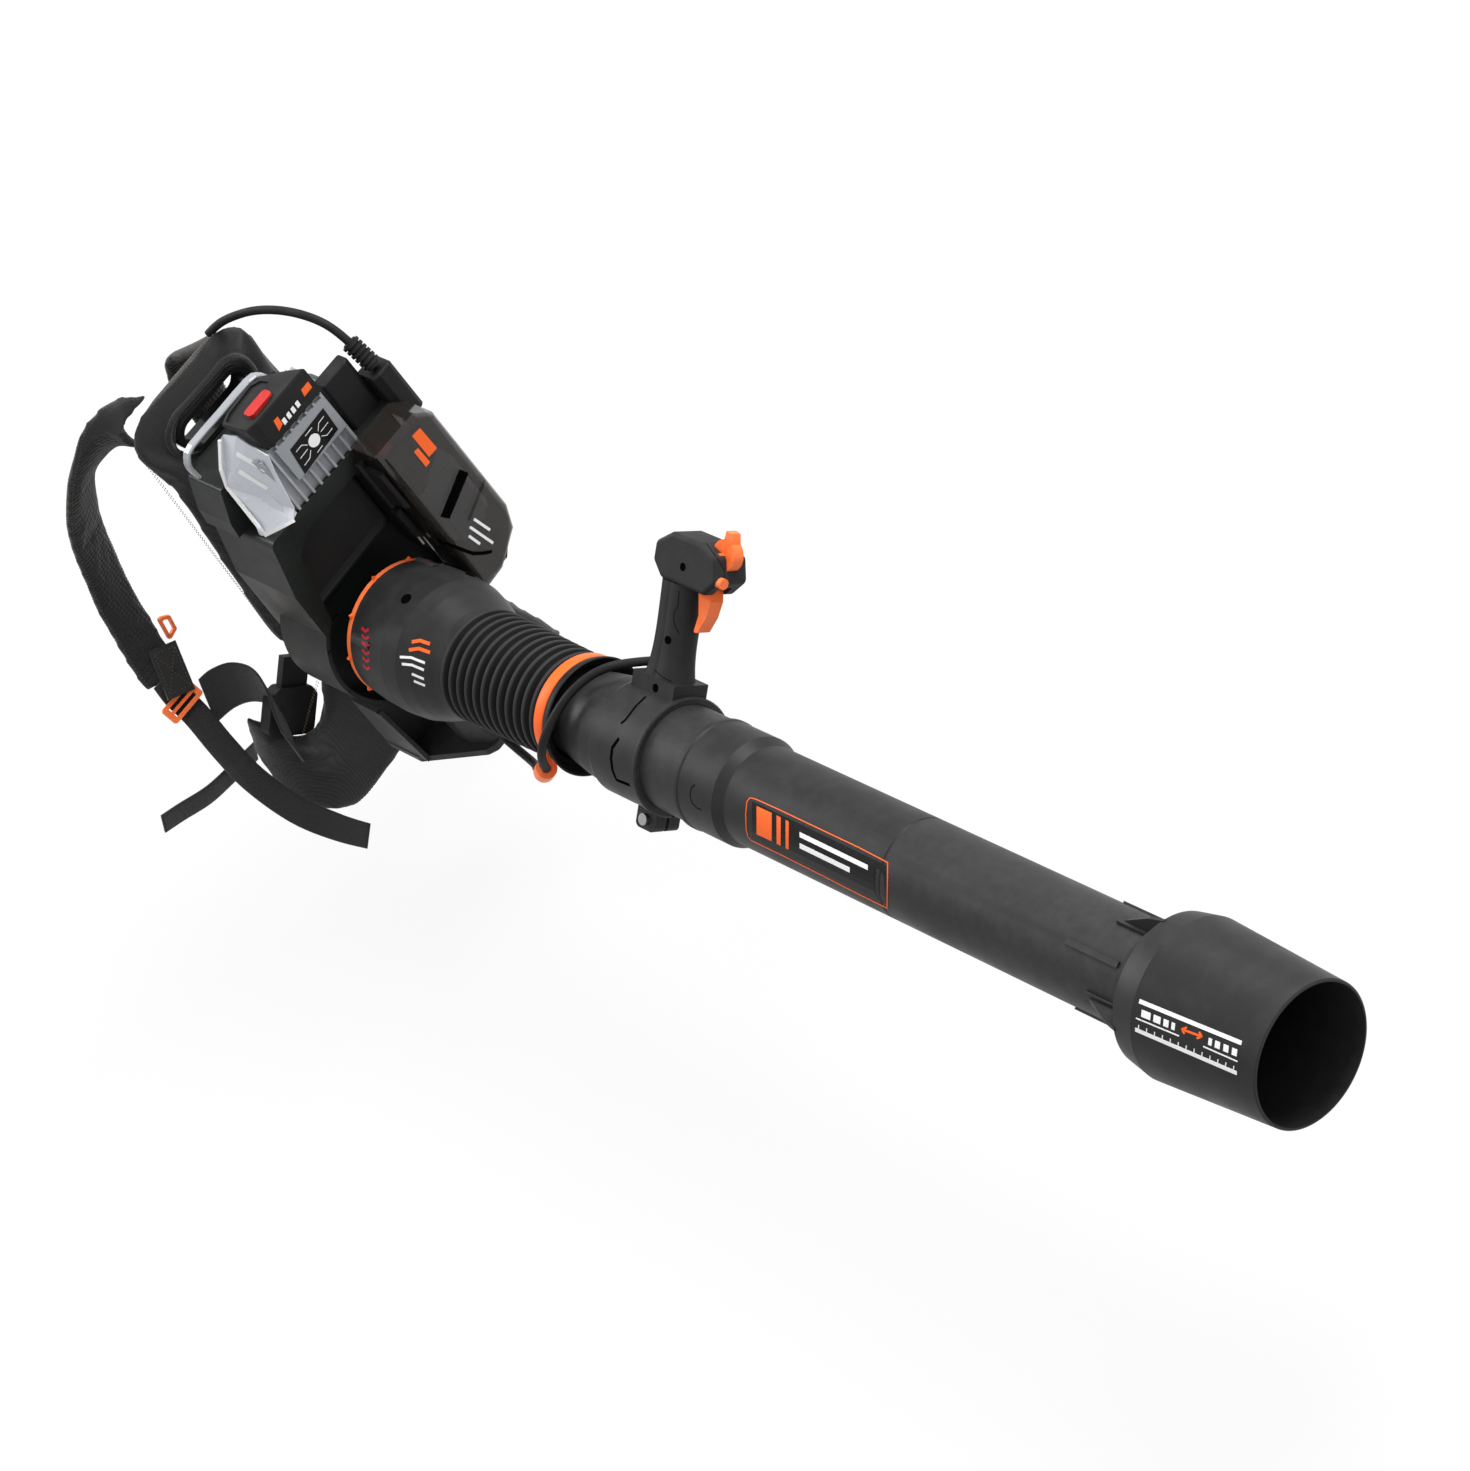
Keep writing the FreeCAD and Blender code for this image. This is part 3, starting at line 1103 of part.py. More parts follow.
def makeHipPads():
    thick = float(size.strapThickness)
    inner = [(-72, -36, -44), (-104, -33, -81), (-125, -26, -104), (-140, -9, -114), (-146, 2, -104), (-151, 14, -91),
             (-154, 30, -82)]
    outer = [(-55, -40, -189), (-79, -36, -195), (-107, -30, -204), (-145, -20, -213), (-168, -8, -197), (-177, 14, -174),
             (-164, 40, -129)]
    depths = [thick * share for share in (1, 1, 1, 1, 1, 1, 0.7)]
    pad = bandBetween(inner, outer, depths, 0.12)
    shaped("hip_pad_left", largest(fitted(pad, "frame_plate", "back_panel", "foot_bracket", "waist_buckle")))
    path = [(34, -42, -46), (36, -40, -116), (46, -40, -178), (66, -40, -230), (82, -38, -264)]
    across = [(1, 0, 0.05), (1, 0, 0.2), (1, 0, 0.45), (1, 0, 0.6), (1, 0, 0.6)]
    pad = bandAlong(vectors(path), vectors(across), [70, 84, 86, 72, 50], depths[:5], 0.12)
    shaped("hip_pad_right", fitted(pad, "frame_plate", "back_panel"))


def makeWebbing():
    width = float(size.webbingWidth)
    thick = float(size.webbingThickness)
    path = [Vector(-180.5, 60, -12), Vector(-182, 60, -34), Vector(-184, 44, -54), Vector(-192, 16, -80), Vector(-198, -16, -104),
            Vector(-196, -52, -134), Vector(-186, -82, -158), Vector(-176, -106, -172)]
    across = [Vector(1, 0, 0.1)] * 4 + [Vector(1, 0.3, 0.3), Vector(0.8, 0.4, 0.6), Vector(0.6, 0.3, 0.8), Vector(0.5, 0.2, 0.9)]
    webbing = bandAlong(path, across, [width] * 8, [thick] * 8)
    shaped("strap_webbing", fitted(webbing, "shoulder_strap_left"))
    tail = [Vector(-166, 44, -132), Vector(-200, 24, -112), Vector(-232, 10, -96), Vector(-262, 4, -80), Vector(-282, 0, -70)]
    shaped("waist_tail", fitted(bandAlong(tail, [Vector(0.4, 0, 1)] * 5, [18] * 5, [thick] * 5), "hip_pad_left"))
    crest = [(-161, 44, -30), (-148, 39, -29), (-134, 28, -31), (-127, 12, -36), (-128, 0, -43), (-134, -6, -59), (-143, -11, -75),
             (-150, -15, -92)]
    hem = [(-176, 43, -76)] + [(x - 8, y, z - 48) for x, y, z in crest[1:6]] + [(-150, -12, -120), (-154, -17, -134)]
    band = bandBetween(crest, hem, [thick] * 8)
    shaped("waist_band", largest(fitted(fitted(band, "hip_pad_left", "waist_buckle", "strap_webbing"), "ladder_lock", gap=0.3)))


def makeWaistBuckle():
    body = newBody("waistBuckle")
    pad(body, "socket", "XZ_Plane", 14, [[(-25, -36), (25, -36), (25, 2), (17, 10), (-17, 10), (-25, 2)]], middle=True)
    roundEdges(body, "cornerRounding", 7, ALONG_Y)
    pad(body, "tongue", "XZ_Plane", 8, [rectangle(-14, 14, 8, 38)], middle=True)
    placeAt(body, -117, 5, -90, FreeCAD.Rotation(Vector(0, 1, 0), 46))
    keep(body, "waist_buckle")


def makeStrapHardware():
    ring = newBody("dRing")
    pad(ring, "plate", "XZ_Plane", 3, [[(-12, 0), (12, 0), (12, 4), (8, 12), (-8, 12), (-12, 4)]], middle=True)
    roundEdges(ring, "cornerRounding", 2, ALONG_Y)
    pocket(ring, "window", "XZ_Plane", 10, [[(-8, 3), (8, 3), (8, 5), (5.5, 9), (-5.5, 9), (-8, 5)]], middle=True)
    placeAt(ring, -147, 76, 12, FreeCAD.Rotation(Vector(0, 1, 0), 102))
    keep(ring, "d_ring")
    ladder = newBody("ladderLock")
    pad(ladder, "frame", "XZ_Plane", 5, [rectangle(-19, 19, -9, 9)], middle=True)
    roundEdges(ladder, "cornerRounding", 3, ALONG_Y)
    pocket(ladder, "upperSlot", "XZ_Plane", 10, [rectangle(-13.5, 13.5, 1.5, 5)], middle=True)
    pocket(ladder, "lowerSlot", "XZ_Plane", 10, [rectangle(-13.5, 13.5, -5, -1.5)], middle=True)
    placeAt(ladder, -184, 51.2, -38, FreeCAD.Rotation(Vector(1, 0, 0), -35))
    keep(ladder, "ladder_lock")


# Cables: straight runs joined by arcs that touch them
def cablePath(points):
    edges = []
    radii = []
    start = points[0]
    for i in range(1, len(points) - 1):
        before = points[i] - points[i - 1]
        after = points[i + 1] - points[i]
        turn = before.getAngle(after)
        reach = 0.45 * min(before.Length, after.Length)
        radii.append(reach / math.tan(turn / 2))
        enter = points[i] - before.normalize() * reach
        leave = points[i] + after.normalize() * reach
        centreWay = (enter + leave) * 0.5 - points[i]
        gap = centreWay.Length
        radius = radii[-1]
        toCentre = radius / math.cos(turn / 2)
        middle = points[i] + centreWay * ((toCentre - radius) / gap)
        edges.append(Part.LineSegment(start, enter).toShape())
        edges.append(Part.Arc(enter, middle, leave).toShape())
        start = leave
    edges.append(Part.LineSegment(start, points[-1]).toShape())
    return Part.Wire(edges), radii


def makeCable(label, points):
    radius = float(size.cableRadius)
    path, radii = cablePath(points)
    direction = points[1] - points[0]
    section = Part.Wire(Part.makeCircle(radius, points[0], direction))
    tube = path.makePipeShell([section], True, False)
    expected = math.pi * radius ** 2 * path.Length
    print("%s: length %.0f, radii %s, volume share %.3f" % (label, path.Length, " ".join("%.0f" % r for r in radii),
                                                            tube.Volume / expected))
    shaped(label, largest(fitted(fitted(tube, "swivel_block", "grip"), "back_panel", gap=0.2)))


UPPER_CABLE = [(90, -133, 217), (90, -125, 232), (86, -106, 245), (79, -80, 252), (69, -53, 254), (57, -30, 251), (46, -13, 246),
               (37, -6, 241)]
FAN_CABLE = [(-60, -231, -86), (-63, -250, -95), (-67, -275, -98), (-72, -301, -92), (-79, -327, -77), (-87, -351, -57),
             (-93, -374, -39), (-96, -394.5, -28)]
HANDLE_CABLE = [(-98, -411.5, -12), (-100, -421, 6), (-93, -432, 27), (-76, -443, 45), (-52, -451, 56), (-28, -460, 57), (-9, -474, 52),
                (6, -491.6, 44)]


def makeCableClip():
    place = Vector(-97, -403, -20)
    along = FreeCAD.Rotation(Vector(1, 0, 0), -43).multVec(Vector(0, 1, 0))
    eye = Part.makeCylinder(9, 18, place - along * 9, along)
    hole = Part.makeCylinder(float(size.cableRadius) + 0.05, 40, place - along * 20, along)
    shaped("cable_clip", fitted(eye.cut(hole), "swivel_ring", "cuff"))


makeIntakeRing()
makeIntakeGrille()
makeFanHousing()
makeImpeller()
makeStator()
makeMotor()
makeMotorShaft()
makeBellows()
makeSwivelRing()
makeCuff()
makeNeckTube()
makeFrontTube()
makeRearTube()
makeNozzle()
makeClampCollar()
makeClampBolt()
makeGrip()
makeHandleHead()
makeTrigger()
makeSpeedLever()
makeBoostButton()

makeDockHousing()
makeRecessPanel()
makeBayWall()
makeBayGuards()
makeGuardLoop()
batteryFloor = size.packTop + 0.3
makeBattery("left_battery", lambda item: placeAt(item, size.batteryRight - size.batteryWidth / 2, size.packRearY, batteryFloor))
makeBattery("right_battery", lambda item: placeAt(item, 34, size.coverRearY + 4 + size.batteryWidth / 2, 36,
                                                  FreeCAD.Rotation(Vector(0, 0, 1), -90)))
makeBayCover()
makeCoverHinge()
makeCoverLatch()
makeConnectorBlock()
makeCablePlug()
makeCableBoot()
makeCenterStrip()
makeFootBracket()
makeSwivelBlock()
makeSwivelPin()
makeFramePlate()
makeBackPanel()
makeHandleRim()
makeStraps()
makeWaistBuckle()
makeHipPads()
makeStrapHardware()
makeWebbing()
makeCable("upper_cable", [Vector(*p) for p in UPPER_CABLE])
makeCable("fan_cable", [Vector(*p) for p in FAN_CABLE])
makeCable("handle_cable", [Vector(*p) for p in HANDLE_CABLE])
makeCableClip()

doc.recompute()
problems = [item.Name for item in doc.Objects if "Invalid" in item.State or "Error" in item.State]
problems += [item.Label for item in parts if item.Shape.isNull() or not item.Shape.isValid()]
if problems:
    raise ValueError("failed objects: %s" % ", ".join(problems))

os.makedirs("parts", exist_ok=True)
for item in parts:
    item.Shape.exportStep("parts/%s.step" % item.Label)
    print("%-24s %3d solid %9.1f cm3" % (item.Label, len(item.Shape.Solids), item.Shape.Volume / 1000))
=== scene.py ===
import math
from functools import partial
import bpy
from mathutils import Matrix, Vector
from mathutils.bvhtree import BVHTree


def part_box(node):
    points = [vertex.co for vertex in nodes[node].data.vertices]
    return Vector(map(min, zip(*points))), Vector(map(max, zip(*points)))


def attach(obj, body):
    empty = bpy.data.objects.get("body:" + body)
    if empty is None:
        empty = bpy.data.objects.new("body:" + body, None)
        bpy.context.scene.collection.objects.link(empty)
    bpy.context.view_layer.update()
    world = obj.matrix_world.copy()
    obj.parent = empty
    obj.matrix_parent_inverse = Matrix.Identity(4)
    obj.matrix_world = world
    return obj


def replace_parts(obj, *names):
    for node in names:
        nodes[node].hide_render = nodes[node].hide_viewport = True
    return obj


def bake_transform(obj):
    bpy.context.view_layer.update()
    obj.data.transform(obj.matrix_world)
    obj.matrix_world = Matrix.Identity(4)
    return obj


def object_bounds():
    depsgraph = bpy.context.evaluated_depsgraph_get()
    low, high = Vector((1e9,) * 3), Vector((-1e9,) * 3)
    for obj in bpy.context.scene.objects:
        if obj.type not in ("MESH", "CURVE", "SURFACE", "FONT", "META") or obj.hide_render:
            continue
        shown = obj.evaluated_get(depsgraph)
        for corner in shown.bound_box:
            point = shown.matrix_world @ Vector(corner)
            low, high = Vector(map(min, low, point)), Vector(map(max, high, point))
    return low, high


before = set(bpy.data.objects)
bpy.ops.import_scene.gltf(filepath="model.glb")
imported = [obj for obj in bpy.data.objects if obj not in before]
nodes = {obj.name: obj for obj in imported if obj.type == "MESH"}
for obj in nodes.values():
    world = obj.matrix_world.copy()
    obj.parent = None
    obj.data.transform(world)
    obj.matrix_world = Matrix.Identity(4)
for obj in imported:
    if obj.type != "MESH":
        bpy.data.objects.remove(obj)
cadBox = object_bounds()
scene = bpy.context.scene
print("frame loaded:", len(nodes), "nodes")


# Camera, floor and light
view = {
    "place": (-0.9143, -3.2749, 2.5349),
    "right": (0.61140, -0.64111, -0.46386),
    "up": (0.75469, 0.29611, 0.58546),
    "lens": 116.545,
    "sensor": 36,               # across the picture
}
light = {
    "sky": (-0.1, 0.95, 0.14, 1.15),      # between the first two heights it grows from the third to the fourth value
    "lamps": (                  # place, aim, size, watts
        ((1.9, -0.9, 2.6), (-0.04, -0.6, 0.0), 2.0, 155),
        ((-2.4, -2.2, 1.6), (-0.04, -0.6, 0.0), 1.8, 9),
        ((0.3, -3.6, 2.9), (-0.04, -0.7, 0.0), 1.4, 6),
        ((-0.6, 2.6, 1.7), (0.0, 0.0, 0.1), 1.6, 70),
    ),
    "floorColor": (0.55, 0.55, 0.55, 1),
    "floorGap": 0.004,
    "floorHalf": 12,
    "whiteShare": 0.86,         # how far the floor is lifted to white where the camera sees it
}
white = (1, 1, 1, 1)


# A shader node with its settings; each input is a value or the output that feeds it
def addNode(tree, kind, inputs=None, **settings):
    node = tree.nodes.new("ShaderNode" + kind)
    for title, value in settings.items():
        setattr(node, title, value)
    for title, value in (inputs or {}).items():
        if isinstance(value, bpy.types.NodeSocket):
            tree.links.new(value, node.inputs[title])
        elif value is not None:
            node.inputs[title].default_value = value
    return node


def mathNode(tree, operation, first, second=None, clamp=False):
    return addNode(tree, "Math", {0: first, 1: second}, operation=operation, use_clamp=clamp).outputs[0]


def makeCamera():
    data = bpy.data.cameras.new("photoCamera")
    data.sensor_fit = "HORIZONTAL"
    data.sensor_width = view["sensor"]
    data.lens = view["lens"]
    data.clip_end = 60
    camera = bpy.data.objects.new("photoCamera", data)
    scene.collection.objects.link(camera)
    right = Vector(view["right"]).normalized()
    up = Vector(view["up"]).normalized()
    back = right.cross(up)
    camera.matrix_world = Matrix((
        (right.x, up.x, back.x, view["place"][0]),
        (right.y, up.y, back.y, view["place"][1]),
        (right.z, up.z, back.z, view["place"][2]),
        (0, 0, 0, 1)))
    scene.camera = camera


# One where the camera sees the surface, directly, in a gloss or through something clear
def seenShare(tree, share):
    path = addNode(tree, "LightPath").outputs
    seen = mathNode(tree, "ADD", path["Is Camera Ray"], path["Is Glossy Ray"])
    return mathNode(tree, "MULTIPLY", mathNode(tree, "ADD", seen, path["Is Transmission Ray"], True), share)


def whitened(tree, share, plain, pale, output):
    mix = addNode(tree, "MixShader", {0: seenShare(tree, share), 1: plain.outputs[0], 2: pale.outputs[0]})
    addNode(tree, output, {0: mix.outputs[0]})


def makeWorld():
    world = bpy.data.worlds.new("studioWorld")
    scene.world = world
    world.use_nodes = True
    tree = world.node_tree
    tree.nodes.clear()
    split = addNode(tree, "SeparateXYZ", {0: addNode(tree, "TexCoord").outputs["Generated"]})
    spans = dict(zip(("From Min", "From Max", "To Min", "To Max"), light["sky"]), Value=split.outputs["Z"])
    rise = addNode(tree, "MapRange", spans, interpolation_type="SMOOTHSTEP")
    soft = addNode(tree, "Background", {"Color": white, "Strength": rise.outputs["Result"]})
    whitened(tree, 1, soft, addNode(tree, "Background", {"Color": white}), "OutputWorld")


def makeFloor():
    material = bpy.data.materials.new("studioFloor")
    material.use_nodes = True
    tree = material.node_tree
    tree.nodes.clear()
    base = addNode(tree, "BsdfDiffuse", {"Color": light["floorColor"]})
    whitened(tree, light["whiteShare"], base, addNode(tree, "Emission", {"Strength": 1}), "OutputMaterial")
    half = light["floorHalf"]
    low = cadBox[0][2] - light["floorGap"]
    mesh = bpy.data.meshes.new("studioFloor")
    corners = [(x * half, y * half, low) for x, y in ((-1, -1), (1, -1), (1, 1), (-1, 1))]
    mesh.from_pydata(corners, [], [(0, 1, 2, 3)])
    mesh.materials.append(material)
    floor = bpy.data.objects.new("studioFloor", mesh)
    scene.collection.objects.link(floor)


def makeLamps():
    for number, (place, aim, size, watts) in enumerate(light["lamps"]):
        data = bpy.data.lights.new("softbox%d" % number, "AREA")
        data.shape = "DISK"
        data.size = size
        data.energy = watts
        lamp = bpy.data.objects.new("softbox%d" % number, data)
        lamp.location = place
        lamp.rotation_euler = (Vector(aim) - Vector(place)).to_track_quat("-Z", "Y").to_euler()
        scene.collection.objects.link(lamp)


makeCamera()
makeWorld()
makeFloor()
makeLamps()
scene.view_settings.view_transform = "Standard"
print("camera and studio ready")


# Shader groups that several finishes share
def newGroup(name, inputs, outputs):
    group = bpy.data.node_groups.new(name, "ShaderNodeTree")
    new = partial(group.interface.new_socket, socket_type="NodeSocketFloat")
    for title, value in inputs.items():
        new(name=title, in_out="INPUT").default_value = value
    for title in outputs:
        new(name=title, in_out="OUTPUT")
    ends = group.nodes.new("NodeGroupInput").outputs, group.nodes.new("NodeGroupOutput").inputs
    return group, *ends, partial(mathNode, group)


def objectPlace(group):
    return addNode(group, "TexCoord").outputs["Object"]


def objectNoise(group, scale, detail):
    texture = addNode(group, "TexNoise", {"Vector": objectPlace(group), "Scale": scale, "Detail": detail})
    return texture.outputs["Fac"]


def makeGrainGroup():
    group, start, end, calc = newGroup("mouldedGrain", {"Scale": 1600, "Blotch": 0.12}, ("Height", "Shade", "Gloss"))
    centred = calc("SUBTRACT", objectNoise(group, scale=23, detail=5), 0.5)
    group.links.new(objectNoise(group, start["Scale"], detail=3), end["Height"])
    group.links.new(calc("ADD", calc("MULTIPLY", centred, start["Blotch"]), 1), end["Shade"])
    group.links.new(calc("MULTIPLY", centred, 0.35), end["Gloss"])
    return group


def makeWearGroup():
    group, start, end, calc = newGroup("edgeWear", {"Amount": 0.5, "Sharpness": 0.53}, ("Mask",))
    shape = addNode(group, "NewGeometry").outputs["Pointiness"]
    over = calc("MULTIPLY", calc("SUBTRACT", shape, start["Sharpness"]), 14, True)
    broken = calc("MULTIPLY", over, calc("MULTIPLY", objectNoise(group, scale=140, detail=6), 1.5, True))
    group.links.new(calc("MULTIPLY", broken, start["Amount"], True), end["Mask"])
    return group


def makeDustGroup():
    group, start, end, calc = newGroup("restingDust", {"Amount": 0.2}, ("Mask",))
    split = addNode(group, "SeparateXYZ", {0: addNode(group, "NewGeometry").outputs["Normal"]})
    patchy = calc("MULTIPLY", calc("SUBTRACT", objectNoise(group, scale=60, detail=8), 0.42), 4, True)
    upward = calc("MULTIPLY", split.outputs["Z"], 1, True)
    group.links.new(calc("MULTIPLY", calc("MULTIPLY", patchy, upward), start["Amount"], True), end["Mask"])
    return group


# Threads that cross, the same from every side because they are made in space
def makeWeaveGroup():
    group, start, end, calc = newGroup("wovenThreads", {"Pitch": 0.0016}, ("Height", "GapShade"))
    split = addNode(group, "SeparateXYZ", {0: objectPlace(group)})
    x, y, z = [calc("SINE", calc("MULTIPLY", calc("DIVIDE", split.outputs[axis], start["Pitch"]), math.tau))
               for axis in "XYZ"]
    total = calc("ADD", calc("ADD", calc("MULTIPLY", x, z), calc("MULTIPLY", y, z)), calc("MULTIPLY", x, y))
    height = calc("ADD", calc("MULTIPLY", total, 0.4), 0.5, True)
    group.links.new(height, end["Height"])
    group.links.new(calc("SUBTRACT", 1, height), end["GapShade"])
    return group


# Knitted spacer mesh: small holes between threads
def makeMeshGroup():
    group, start, end, calc = newGroup("spacerMesh", {"Scale": 260}, ("Height", "HoleShade"))
    cells = addNode(group, "TexVoronoi", {"Randomness": 0.32, "Vector": objectPlace(group), "Scale": start["Scale"]})
    near = calc("MULTIPLY", cells.outputs["Distance"], 1.6, True)
    group.links.new(near, end["Height"])
    group.links.new(calc("SUBTRACT", 1, calc("MULTIPLY", near, 1.4, True)), end["HoleShade"])
    return group


# Ribs across a strap, from its own length and width
def makeWebbingGroup():
    group, start, end, calc = newGroup("webbingRibs", {"Pitch": 0.0014}, ("Height",))
    split = addNode(group, "SeparateXYZ", {0: addNode(group, "UVMap").outputs["UV"]})
    along, across = [calc("SINE", calc("MULTIPLY", calc("DIVIDE", split.outputs[axis], start["Pitch"]), turn))
                     for axis, turn in (("Y", math.tau), ("X", math.pi))]
    total = calc("MULTIPLY", along, calc("ABSOLUTE", across))
    group.links.new(calc("ADD", calc("MULTIPLY", total, 0.5), 0.5, True), end["Height"])
    return group


groups = {
    "grain": makeGrainGroup(), "wear": makeWearGroup(), "dust": makeDustGroup(),
    "weave": makeWeaveGroup(), "mesh": makeMeshGroup(), "webbing": makeWebbingGroup(),
}


def placeGroup(tree, name, **values):
    return addNode(tree, "Group", values, node_tree=groups[name]).outputs


def mixColor(tree, share, first, second):
    first, second = [(*color, 1) if isinstance(color, tuple) else color for color in (first, second)]
    return addNode(tree, "Mix", {"Factor": share, "A": first, "B": second}, data_type="RGBA").outputs["Result"]


# A material with blotched colour, and the shader inputs that are the same all over it
def newFinish(name, color, scale, blotch, **inputs):
    material = bpy.data.materials.new(name)
    material.use_nodes = True
    tree = material.node_tree
    shader = tree.nodes["Principled BSDF"].inputs
    for title, value in inputs.items():
        shader[inputTitles[title]].default_value = value
    texture = placeGroup(tree, "grain", Scale=scale, Blotch=blotch)
    shaded = addNode(tree, "VectorMath", {0: color, "Scale": texture["Shade"]}, operation="SCALE").outputs[0]
    return material, tree, shader, texture, shaded


# The third colour is the near black of the painted shade in the hose's grooves
dustColor, lintColor, grooveShadeColor = (0.16, 0.15, 0.14), (0.08, 0.075, 0.07), (0.0015, 0.0015, 0.0015)
inputTitles = {
    "rough": "Roughness", "shine": "Specular IOR Level", "metallic": "Metallic", "coat": "Coat Weight",
    "coatRough": "Coat Roughness", "sheen": "Sheen Weight", "sheenRough": "Sheen Roughness", "alpha": "Alpha",
}


def addRelief(tree, shader, height, strength, distance):
    relief = addNode(tree, "Bump", {"Strength": strength, "Distance": distance, "Height": height})
    tree.links.new(relief.outputs[0], shader["Normal"])


# Hard plastics: grain, blotches, dust on top and pale worn edges
def mouldedFinish(name, color, worn, rough, grain=1600, bump=0.08, wear=0.3, dust=0.04, metallic=0.0, coat=0.0,
                  blotch=0.05, shine=0.14):
    material, tree, shader, texture, shaded = newFinish(
        name, color, grain, blotch, metallic=metallic, shine=shine, coat=coat, coatRough=0.12)
    edges = placeGroup(tree, "wear", Amount=wear)["Mask"]
    dirt = placeGroup(tree, "dust", Amount=dust)["Mask"]
    tint = mixColor(tree, dirt, mixColor(tree, edges, shaded, worn), dustColor)
    tree.links.new(tint, shader["Base Color"])
    clean = mathNode(tree, "ADD", texture["Gloss"], rough, True)
    tree.links.new(mathNode(tree, "ADD", clean, mathNode(tree, "MULTIPLY", dirt, 0.4), True), shader["Roughness"])
    addRelief(tree, shader, texture["Height"], bump, distance=0.0006)
    return material


# Woven cloth: thread relief, painted shade in the gaps between threads, lint and a soft sheen
def clothFinish(name, color, gapShadeColor, pitch=0.0016, sheen=0.25):
    material, tree, shader, texture, shaded = newFinish(
        name, color, 520, blotch=0.5, rough=0.85, shine=0.25, sheen=sheen, sheenRough=0.5)
    threads = placeGroup(tree, "weave", Pitch=pitch)
    lint = placeGroup(tree, "dust", Amount=0.12)["Mask"]
    tint = mixColor(tree, lint, mixColor(tree, threads["GapShade"], shaded, gapShadeColor), lintColor)
    tree.links.new(tint, shader["Base Color"])
    height = mathNode(tree, "ADD", threads["Height"], mathNode(tree, "MULTIPLY", texture["Height"], 0.5))
    addRelief(tree, shader, height, strength=0.5, distance=0.0008)
    return material


def spacerFinish(name, color, holeShadeColor):
    material, tree, shader, texture, shaded = newFinish(
        name, color, 900, blotch=0.4, rough=0.78, shine=0.2, sheen=0.15)
    knit = placeGroup(tree, "mesh", Scale=260)
    # Painted shade: the holes of the knit are near black
    tree.links.new(mixColor(tree, knit["HoleShade"], shaded, holeShadeColor), shader["Base Color"])
    addRelief(tree, shader, knit["Height"], strength=0.8, distance=0.0012)
    return material


def webbingFinish(name, color):
    material, tree, shader, texture, shaded = newFinish(
        name, color, 700, blotch=0.4, rough=0.62, shine=0.3, sheen=0.15)
    ribs = placeGroup(tree, "webbing", Pitch=0.0014)
    # Painted shade: the grooves between the ribs take a darker copy of the webbing's colour
    groove = tuple(value * 0.45 for value in color)
    tree.links.new(mixColor(tree, ribs["Height"], groove, shaded), shader["Base Color"])
    addRelief(tree, shader, ribs["Height"], strength=0.6, distance=0.0007)
    return material


def smokedFinish(name, color, clear):
    material, tree, shader, texture, shaded = newFinish(
        name, color, 900, blotch=0.1, rough=0.08, alpha=1 - clear, shine=0.45, coat=0.4, coatRough=0.05)
    tree.links.new(shaded, shader["Base Color"])
    return material


# Painted shade: the grooves between the ribs are painted near black and the crests keep the rubber's colour, by a tone
# that the mesh carries
def ribbedShadeFinish(name, color):
    material = mouldedFinish(name, color, (0.05, 0.05, 0.05), 0.55, grain=2400, bump=0.1, wear=0.1, dust=0.02,
            shine=0.08)
    tree = material.node_tree
    base = tree.nodes["Principled BSDF"].inputs["Base Color"]
    height = addNode(tree, "Attribute", attribute_name="ribGrooveShade").outputs["Fac"]
    tree.links.new(mixColor(tree, height, grooveShadeColor, base.links[0].from_socket), base)
    return material


